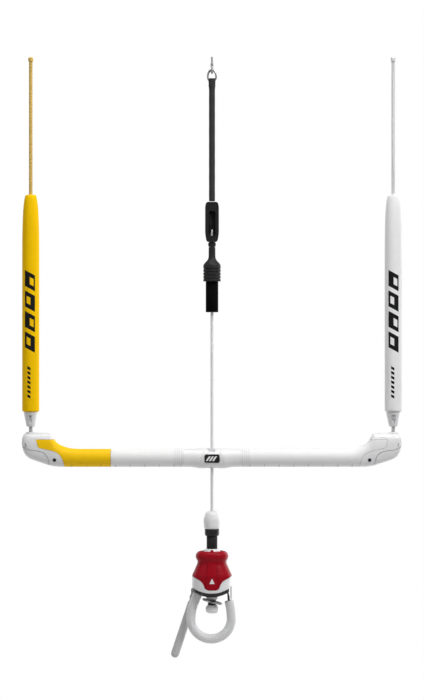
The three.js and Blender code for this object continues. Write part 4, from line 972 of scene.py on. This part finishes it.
# ---- Quick release: handle, body and base ----
# A red handle slides up the barrel and lets the loop go. It meets the white body along a curved seam that
# dips to a tongue in front, and a black band closes the body's underside.
HANDLE_TOP = node_box("release_handle")[1].z
BASE_FOOT = node_box("release_base")[0].z
RELEASE_STATIONS = [
    (0, 15, 14), (0.5, 17.4, 16.0), (1.3, 19.4, 17.6), (4.3, 21.8, 19.6), (7.9, 22.4, 20), (11, 21.3, 19.2),
    (13.8, 19.9, 18.2), (17.3, 20.3, 18.4), (21.3, 22, 19.6), (27.3, 24.6, 21.2), (34, 27.2, 22.6),
    (45, 27.2, 22.6), (55, 26.6, 22.2), (HANDLE_TOP - BASE_FOOT - 2, 22.7, 19.6),
]
BARREL_FOOT = BASE_FOOT + 11
BORE_RADIUS, SPRING_ROOM_RADIUS = 12.3, 16.4
SEAM_GAP = 0.3
# A cutter that goes right through ends past the release on every side.
PAST_TOP, PAST_FOOT, PAST_SIDE = HANDLE_TOP + 80, BASE_FOOT - 60, 40


def release_form(shrink=0.0, low=BASE_FOOT - 2):
    rows = []
    for drop in [0, 0.2, 0.5, 0.9, 1.4, 2.2] + places_between(3, HANDLE_TOP - low, 0.9):
        half_x, half_y = blended(RELEASE_STATIONS, drop)
        rows.append([(a, b, HANDLE_TOP - drop) for a, b in
                     ring_rows(0, half_x - shrink, half_y - shrink, 2.3, 128)])
    return skin(rows)


def seam_height(x, lift=0.0):
    """The seam between the handle and the body, above the handle's top by its own depth."""
    table = [(0, -51.9), (5, -51.9), (7.2, -51.2), (9.4, -49.7), (12, -43.7), (15.6, -39.5), (21, -36.6),
             (27.1, -33.8), (40, -30.3)]
    return HANDLE_TOP + blended(table, abs(x))[0] + lift


seam_places = places_between(-PAST_SIDE, PAST_SIDE, 0.8)
above = plate([(place, seam_height(place)) for place in seam_places]
              + [(PAST_SIDE, PAST_TOP), (-PAST_SIDE, PAST_TOP)], -PAST_SIDE, PAST_SIDE)
below = plate([(place, seam_height(place, -0.45)) for place in seam_places]
              + [(PAST_SIDE, PAST_FOOT), (-PAST_SIDE, PAST_FOOT)], -PAST_SIDE, PAST_SIDE)


def base_arc(lift):
    outline = [(-1 + 50 * cos(2 * pi * i / 160), BASE_FOOT + 50 + lift + 50 * sin(2 * pi * i / 160))
               for i in range(160)]
    return plate(outline, -PAST_SIDE, PAST_SIDE)


red = Finish("red_nylon", (0.36, 0.004, 0.014), 0.34, specular=0.12)
drop = HANDLE_TOP - red.z
panel = abs(abs(red.x) - 5.2 - drop * 0.07)
# The two creases down the front are bumped in, and their colour is painted dark as shade in them.
crease_and_shade = ((panel < 0.55) * (drop > 15) * (red.y < 0)).maths("MULTIPLY", 0.45)
cloud = red.mix(red.noise(26, 4), (0.31, 0.003, 0.011), (0.38, 0.005, 0.016))
red.set("Base Color", red.mix(crease_and_shade, cloud, (0.10, 0.001, 0.004)))
red.set("Roughness", red.noise(4.5, 5, 0.7) * 0.24 + 0.24)
red.bump(red.noise(0.38, 2) * 0.6 + red.noise(1.6, 2) * 0.4 - crease_and_shade * 6, 0.05)
red_shell = red.material
side_grooves = [cross_rod(5.0, -PAST_SIDE, PAST_SIDE, side * 28.8, HANDLE_TOP - 19.5, 64)
                for side in (-1, 1)]
spring_room = rod(SPRING_ROOM_RADIUS, PAST_FOOT, HANDLE_TOP - 11.7)
mouth = turned([(0, HANDLE_TOP - 6), (BORE_RADIUS, HANDLE_TOP - 6), (BORE_RADIUS + 0.5, HANDLE_TOP - 3.4),
                (BORE_RADIUS + 1.7, HANDLE_TOP - 0.4), (BORE_RADIUS + 2.0, HANDLE_TOP + 1),
                (0, HANDLE_TOP + 1)],
               steps=96)
handle = cut(release_form(), above, keep=True)
handle = cut(handle, rod(BORE_RADIUS, PAST_FOOT, PAST_TOP, steps=96), mouth, spring_room, *side_grooves)
piece("handle", handle, "handle", red_shell, ["release_handle"], edge=0.5, sharp=36)
mark_outline = [(-3.6, HANDLE_TOP - 43.2), (3.6, HANDLE_TOP - 43.2), (0, HANDLE_TOP - 35.9)]
white_ink = moulded("white_inlay", (0.85, 0.85, 0.85), 0.4, 0.02)
mark = cut(release_form(-0.08), plate(rounded(mark_outline, 0.4, 3), -PAST_SIDE, 0), keep=True)
mark = cut(mark, release_form(0.3))
piece("handle_mark", mark, "handle", white_ink)

tab = plate(rounded([(-2.6, HANDLE_TOP - 3), (2.6, HANDLE_TOP - 3), (2.2, HANDLE_TOP + 2.1),
                     (-2.2, HANDLE_TOP + 2.1)],
                    0.7, 3), -14.4, -12.7)
piece("handle_tab", tab, "handle", red_shell, edge=0.25)
barrel_profile = [(STEM_BORE, BARREL_FOOT), (12, BARREL_FOOT)]
barrel_profile += [(radius, HANDLE_TOP + up) for radius, up in
                   ((12, -14), (16.1, -14), (16.1, -12), (12, -12), (12, -4), (11.7, -1.4), (11.1, 0.9),
                    (10.5, 1.7), (9.6, 2.5), (8.8, 2.95), (STEM_BORE, 3))]
piece("barrel", turned(barrel_profile, steps=96, closed=True), "release", white_shell,
      ["core_barrel"], sharp=50)

cuff_top, pivot = Vector((-17.2, 0, HANDLE_TOP - 53.3)), Vector(joint_place("loop_open")["pos_m"]) / MM
cuff_room = swept([(-16.2, 0, HANDLE_TOP - 50.9), tuple(pivot.lerp(cuff_top, 0.5)), tuple(pivot)], 7.2, 40)
tongue_room = block(18.8, 26, PAST_FOOT, HANDLE_TOP - 50.3, -4.4, 4.4)
hub_room = rod(8.3, BASE_FOOT - 8, BASE_FOOT + 7)
lug_low, lug_high = node_box("finger_pin")
lug_room = block(lug_low.x - SEAM_GAP, lug_high.x + SEAM_GAP, lug_low.z - 2, lug_high.z + SEAM_GAP,
                 8.0, 10.3)
arm_low, arm_high = node_box("latch_arm")
arm_room = block(arm_low.x - SEAM_GAP, arm_high.x + 3, arm_low.z, arm_high.z + SEAM_GAP, -4.3, 4.3)
body = cut(release_form(), below, base_arc(5.3), keep=True)
body = cut(body, rod(BORE_RADIUS, BARREL_FOOT - SEAM_GAP, PAST_TOP, steps=96),
           rod(STEM_BORE, BASE_FOOT + 10, PAST_TOP), rod(SPRING_ROOM_RADIUS, HANDLE_TOP - 41, PAST_TOP),
           cuff_room.copy(), tongue_room.copy(), hub_room.copy(), lug_room.copy(), arm_room)
piece("body_shell", body, "release", white_shell, ["release_body"], edge=0.6, sharp=38)
band_limits = block(-PAST_SIDE, 23.4, BASE_FOOT - 1, BASE_FOOT + 11, -PAST_SIDE, PAST_SIDE)
base = cut(release_form(), base_arc(0), band_limits, keep=True)
base = cut(base, base_arc(5), cuff_room, tongue_room, hub_room, lug_room)
piece("base_band", base, "release", black_plastic, ["release_base"], edge=0.45, sharp=38)
dress("spring_seat", black_plastic)
dress("finger_pin", steel)
coil_low, coil_high = node_box("release_spring")
WIRE = 0.8
coil_places = [(13.6 * cos(2 * pi * i / 30), 13.6 * sin(2 * pi * i / 30),
                coil_low.z + WIRE + (coil_high.z - coil_low.z - 2 * WIRE) * i / 120) for i in range(121)]
coil = piece("spring", swept(coil_places, WIRE, 12), "release", steel, ["release_spring"],
             sharp=60)
PUSH = joint_place("handle_push")["range_m"][1] / MM
1 - PUSH / (coil_high.z - coil_low.z)
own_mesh(coil)
arm = plate(rounded([(arm_low.x, arm_low.z), (arm_high.x, arm_low.z), (arm_high.x, arm_high.z),
                     (arm_low.x, arm_high.z)], 0.8, 4), arm_low.y, arm_high.y)
piece("arm", arm, "release", white_shell, ["latch_arm"], edge=0.3)


# ---- Chicken loop ----
# A thick polyurethane tube bent to a ring: one end is moulded into the base, and the other carries a steel
# tongue that the handle holds shut. It swings open on the root.
pale_tube = moulded("pale_polyurethane", (0.77, 0.77, 0.78), 0.42, 0.02, 0.012)
bend_z = node_box("loop_tube")[0].z + 6.4 + 27.6


def smooth_path(points, step=1.4):
    """A Catmull-Rom run through points, at even steps."""
    points = [Vector(point) for point in points]
    ends = [points[0] * 2 - points[1], *points, points[-1] * 2 - points[-2]]
    run = []
    for p0, p1, p2, p3 in zip(ends, ends[1:], ends[2:], ends[3:]):
        count = max(2, int((p2 - p1).length / step))
        for i in range(count):
            t = i / count
            run.append(0.5 * (2 * p1 + (p2 - p0) * t + (2 * p0 - 5 * p1 + 4 * p2 - p3) * t * t
                              + (3 * p1 - p0 - 3 * p2 + p3) * t ** 3))
    run.append(points[-1])
    return run


loop_points = [cuff_top, pivot.lerp(cuff_top, 0.5), pivot, Vector((-27.2, 0, BASE_FOOT - 17.6))]
loop_points += [Vector((-1 + 27.6 * cos(pi + pi * i / 12), 0, bend_z + 27.6 * sin(pi + pi * i / 12)))
                for i in range(13)]
tongue_foot = Vector((23.4, 0, BASE_FOOT - 6.4))
loop_points += [Vector((25.6, 0, BASE_FOOT - 18.6)), tongue_foot]
loop_run = smooth_path(loop_points)


def loop_radius(t):
    end = min(t * 60, 1.0)
    far_end = min((1 - t) * 90, 1.0)
    return 6.4 * (0.93 + 0.07 * end) * (0.90 + 0.10 * far_end)


loop_form = swept(loop_run, loop_radius, 40)
tongue_slot = block(19.5, 27, tongue_foot.z - 5, BASE_FOOT + 19.4, -3.6, 3.6)
loop_piece = piece("loop", cut(loop_form, tongue_slot), None, pale_tube,
                   ["loop_tube", "loop_cuff"], edge=0.4, sharp=50)
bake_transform(loop_piece)
tongue_outline = rounded([(across, BASE_FOOT + up) for across, up in
                          ((22, -11), (24.8, -11), (24.2, -1.6), (21.8, 8), (19.6, 8), (19.6, 5.4),
                           (20.8, 3.4))],
                         0.8, 4)
piece("tongue", plate(tongue_outline, -3.3, 3.3), "loop", dark_steel, ["loop_tongue"], edge=0.3)

# ---- Finger ----
# The same tubing with a rounded tip, hung on a steel lug behind the loop. It keeps the harness hook in.
# The finger's finish is the loop's tubing painted darker, as shade behind the loop.
shaded_finger_skin = moulded("shaded_finger_polyurethane", (0.56, 0.56, 0.57), 0.42, 0.02, 0.012)
finger_joint = joint_place("finger_swing")
hinge = Vector(finger_joint["pos_m"]) / MM
LEAN = radians(18.4)
FINGER_LENGTH = 87
down = Vector((-sin(LEAN), 0, -cos(LEAN)))
finger_profile = [(0, 0.0), (1.6, 0.15), (2.9, 0.6), (4.0, 1.5), (4.8, 2.7), (5.4, 4.2), (5.7, 6.0),
                  (5.75, 8), (5.75, 40), (5.75, 79), (5.6, 80.0), (4.7, 80.6), (4.7, 86)]
finger_form = turned([(radius, reach) for radius, reach in finger_profile] + [(0, 86)], steps=48)
turn = down.rotation_difference(Vector((0, 0, -1))).inverted().to_matrix().to_4x4()
finger_form.transform(Matrix.Translation(hinge + down * FINGER_LENGTH) @ turn)
eye_form = cross_rod(5.75, hinge.y - 4.75, hinge.y + 4.75, hinge.x, hinge.z, 48)
hole = cross_rod(2.1, hinge.y - 9, hinge.y + 9, hinge.x, hinge.z)
piece("finger", cut(finger_form, hole.copy()), "finger", shaded_finger_skin, ["finger_tube"],
      edge=0.3, sharp=50)
piece("finger_eye", cut(eye_form, hole), "finger", shaded_finger_skin, edge=0.6, sharp=50)

# ---- Leash ring and its stem ----
# A white stem ends in a knob under the base. A steel ring, cut from plate, leans on the knob and turns round
# the stem's neck with its bush.
KNOB_TOP = BASE_FOOT - 12.4
stem_foot = node_box("leash_stem")[0].z
stem_profile = [(0, stem_foot), (4.6, stem_foot + 0.1), (6.4, stem_foot + 0.6), (7.8, stem_foot + 1.9),
                (8.6, stem_foot + 3.6), (8.9, stem_foot + 5.2), (8.8, stem_foot + 7.0),
                (8.3, stem_foot + 8.9), (7.5, stem_foot + 10.4), (6.5, KNOB_TOP - 0.3), (5.6, KNOB_TOP),
                (4.4, KNOB_TOP), (4.4, BASE_FOOT - 5.4), (6.6, BASE_FOOT - 4.9), (7.4, BASE_FOOT - 4.0),
                (7.9, BASE_FOOT - 2.6), (8.0, BASE_FOOT - 1.4), (8.0, BASE_FOOT + 6), (0, BASE_FOOT + 6)]
piece("stem", turned(stem_profile, steps=80), "release", white_shell, ["leash_stem"],
      sharp=40)
dress("leash_bush", black_plastic)
RING_RADIUS, RING_HOLE, RING_LEAN = 14.0, 6.9, radians(14.4)


def arc_points(radius, first, last, steps):
    return [(radius * cos(first + (last - first) * i / steps),
             radius * sin(first + (last - first) * i / steps))
            for i in range(steps + 1)]


ring_disc = skin([[(a, b, z) for a, b in arc_points(RING_RADIUS, 0, 2 * pi, 96)[:-1]] for z in (-1, 1)])
ring_hole = skin([[(a, b, z) for a, b in arc_points(RING_HOLE, 0, 2 * pi, 64)[:-1]] for z in (-3, 3)])
slot_points = arc_points(RING_RADIUS - 1.6, 0.9, pi - 0.9, 24)
slot_points += arc_points(RING_HOLE + 1.8, pi - 0.9, 0.9, 24)
ring_slot = skin([[(a, b, z) for a, b in rounded(slot_points, 0.8, 3)] for z in (-3, 3)])
ring_form = cut(ring_disc, ring_hole, ring_slot)
ring_form.transform(Matrix.Translation((0.4, 0, KNOB_TOP + 4.6)) @ Matrix.Rotation(RING_LEAN, 4, "Y"))
piece("leash_plate", ring_form, "leash", steel, ["leash_ring"], edge=0.4)

# ---- Light and floor ----
# A pale round floor lies well under the loop, and glows a little where the camera sees it. A soft key stands
# at the upper right, with a broad light overhead and two behind that draw the bright edges.
FLOOR_DROP, FLOOR_RADIUS = 0.75, 4.5
floor_form = bmesh.new()
bmesh.ops.create_circle(floor_form, cap_ends=True, radius=FLOOR_RADIUS, segments=96)
floor_mesh = bpy.data.meshes.new("floor")
floor_form.to_mesh(floor_mesh)
floor_form.free()
floor_paint = Finish("floor_paint", (0.80, 0.80, 0.80), 0.9)
lit = Wire(floor_paint.tree, floor_paint.shader.outputs[0])
pale = lit.node("ShaderNodeEmission", Color=(1, 1, 1, 1), Strength=1.0)
share = lit.node("ShaderNodeLightPath") * 0.9
both = lit.node("ShaderNodeMixShader", _0=share, _1=lit, _2=pale)
floor_paint.tree.links.new(both.socket, floor_paint.tree.nodes["Material Output"].inputs["Surface"])
floor_mesh.materials.append(floor_paint.material)
floor = bpy.data.objects.new("floor", floor_mesh)
floor.location.z = OBJECT_FOOT - FLOOR_DROP
bpy.context.scene.collection.objects.link(floor)


def area_light(name, place, target, power, size):
    data = bpy.data.lights.new(name, "AREA")
    data.energy = power
    data.size = size
    lamp = bpy.data.objects.new(name, data)
    lamp.location = place
    lamp.rotation_euler = (Vector(target) - Vector(place)).to_track_quat("-Z", "Y").to_euler()
    lamp.visible_camera = False
    bpy.context.scene.collection.objects.link(lamp)


middle = (0, 0, 0.5 * OBJECT_FOOT)
area_light("key", (1.5, -1.5, 1.5), middle, 44, 1.0)
area_light("fill", (-2.0, -1.8, 0.2), middle, 7, 1.6)
area_light("overhead", (0.0, -0.4, 1.6), middle, 30, 1.4)
area_light("behind_left", (-1.5, 1.5, -0.5), middle, 16, 2.4)
area_light("behind_right", (1.5, 1.5, -0.5), middle, 36, 2.4)

# The room is dim for the light that falls on the object, and plain white where the camera looks past it.
room = bpy.data.worlds.new("room")
room.use_nodes = True
dim = room.node_tree.nodes["Background"]
dim.inputs["Color"].default_value = (1, 1, 1, 1)
dim.inputs["Strength"].default_value = 0.16
surround = Wire(room.node_tree, dim.outputs[0])
seen = surround.node("ShaderNodeBackground", Color=(1, 1, 1, 1), Strength=1.0)
straight = surround.node("ShaderNodeLightPath")
both = surround.node("ShaderNodeMixShader", _0=straight, _1=surround, _2=seen)
room.node_tree.links.new(both.socket, room.node_tree.nodes["World Output"].inputs["Surface"])
bpy.context.scene.world = room
bpy.context.scene.view_settings.view_transform = "Standard"
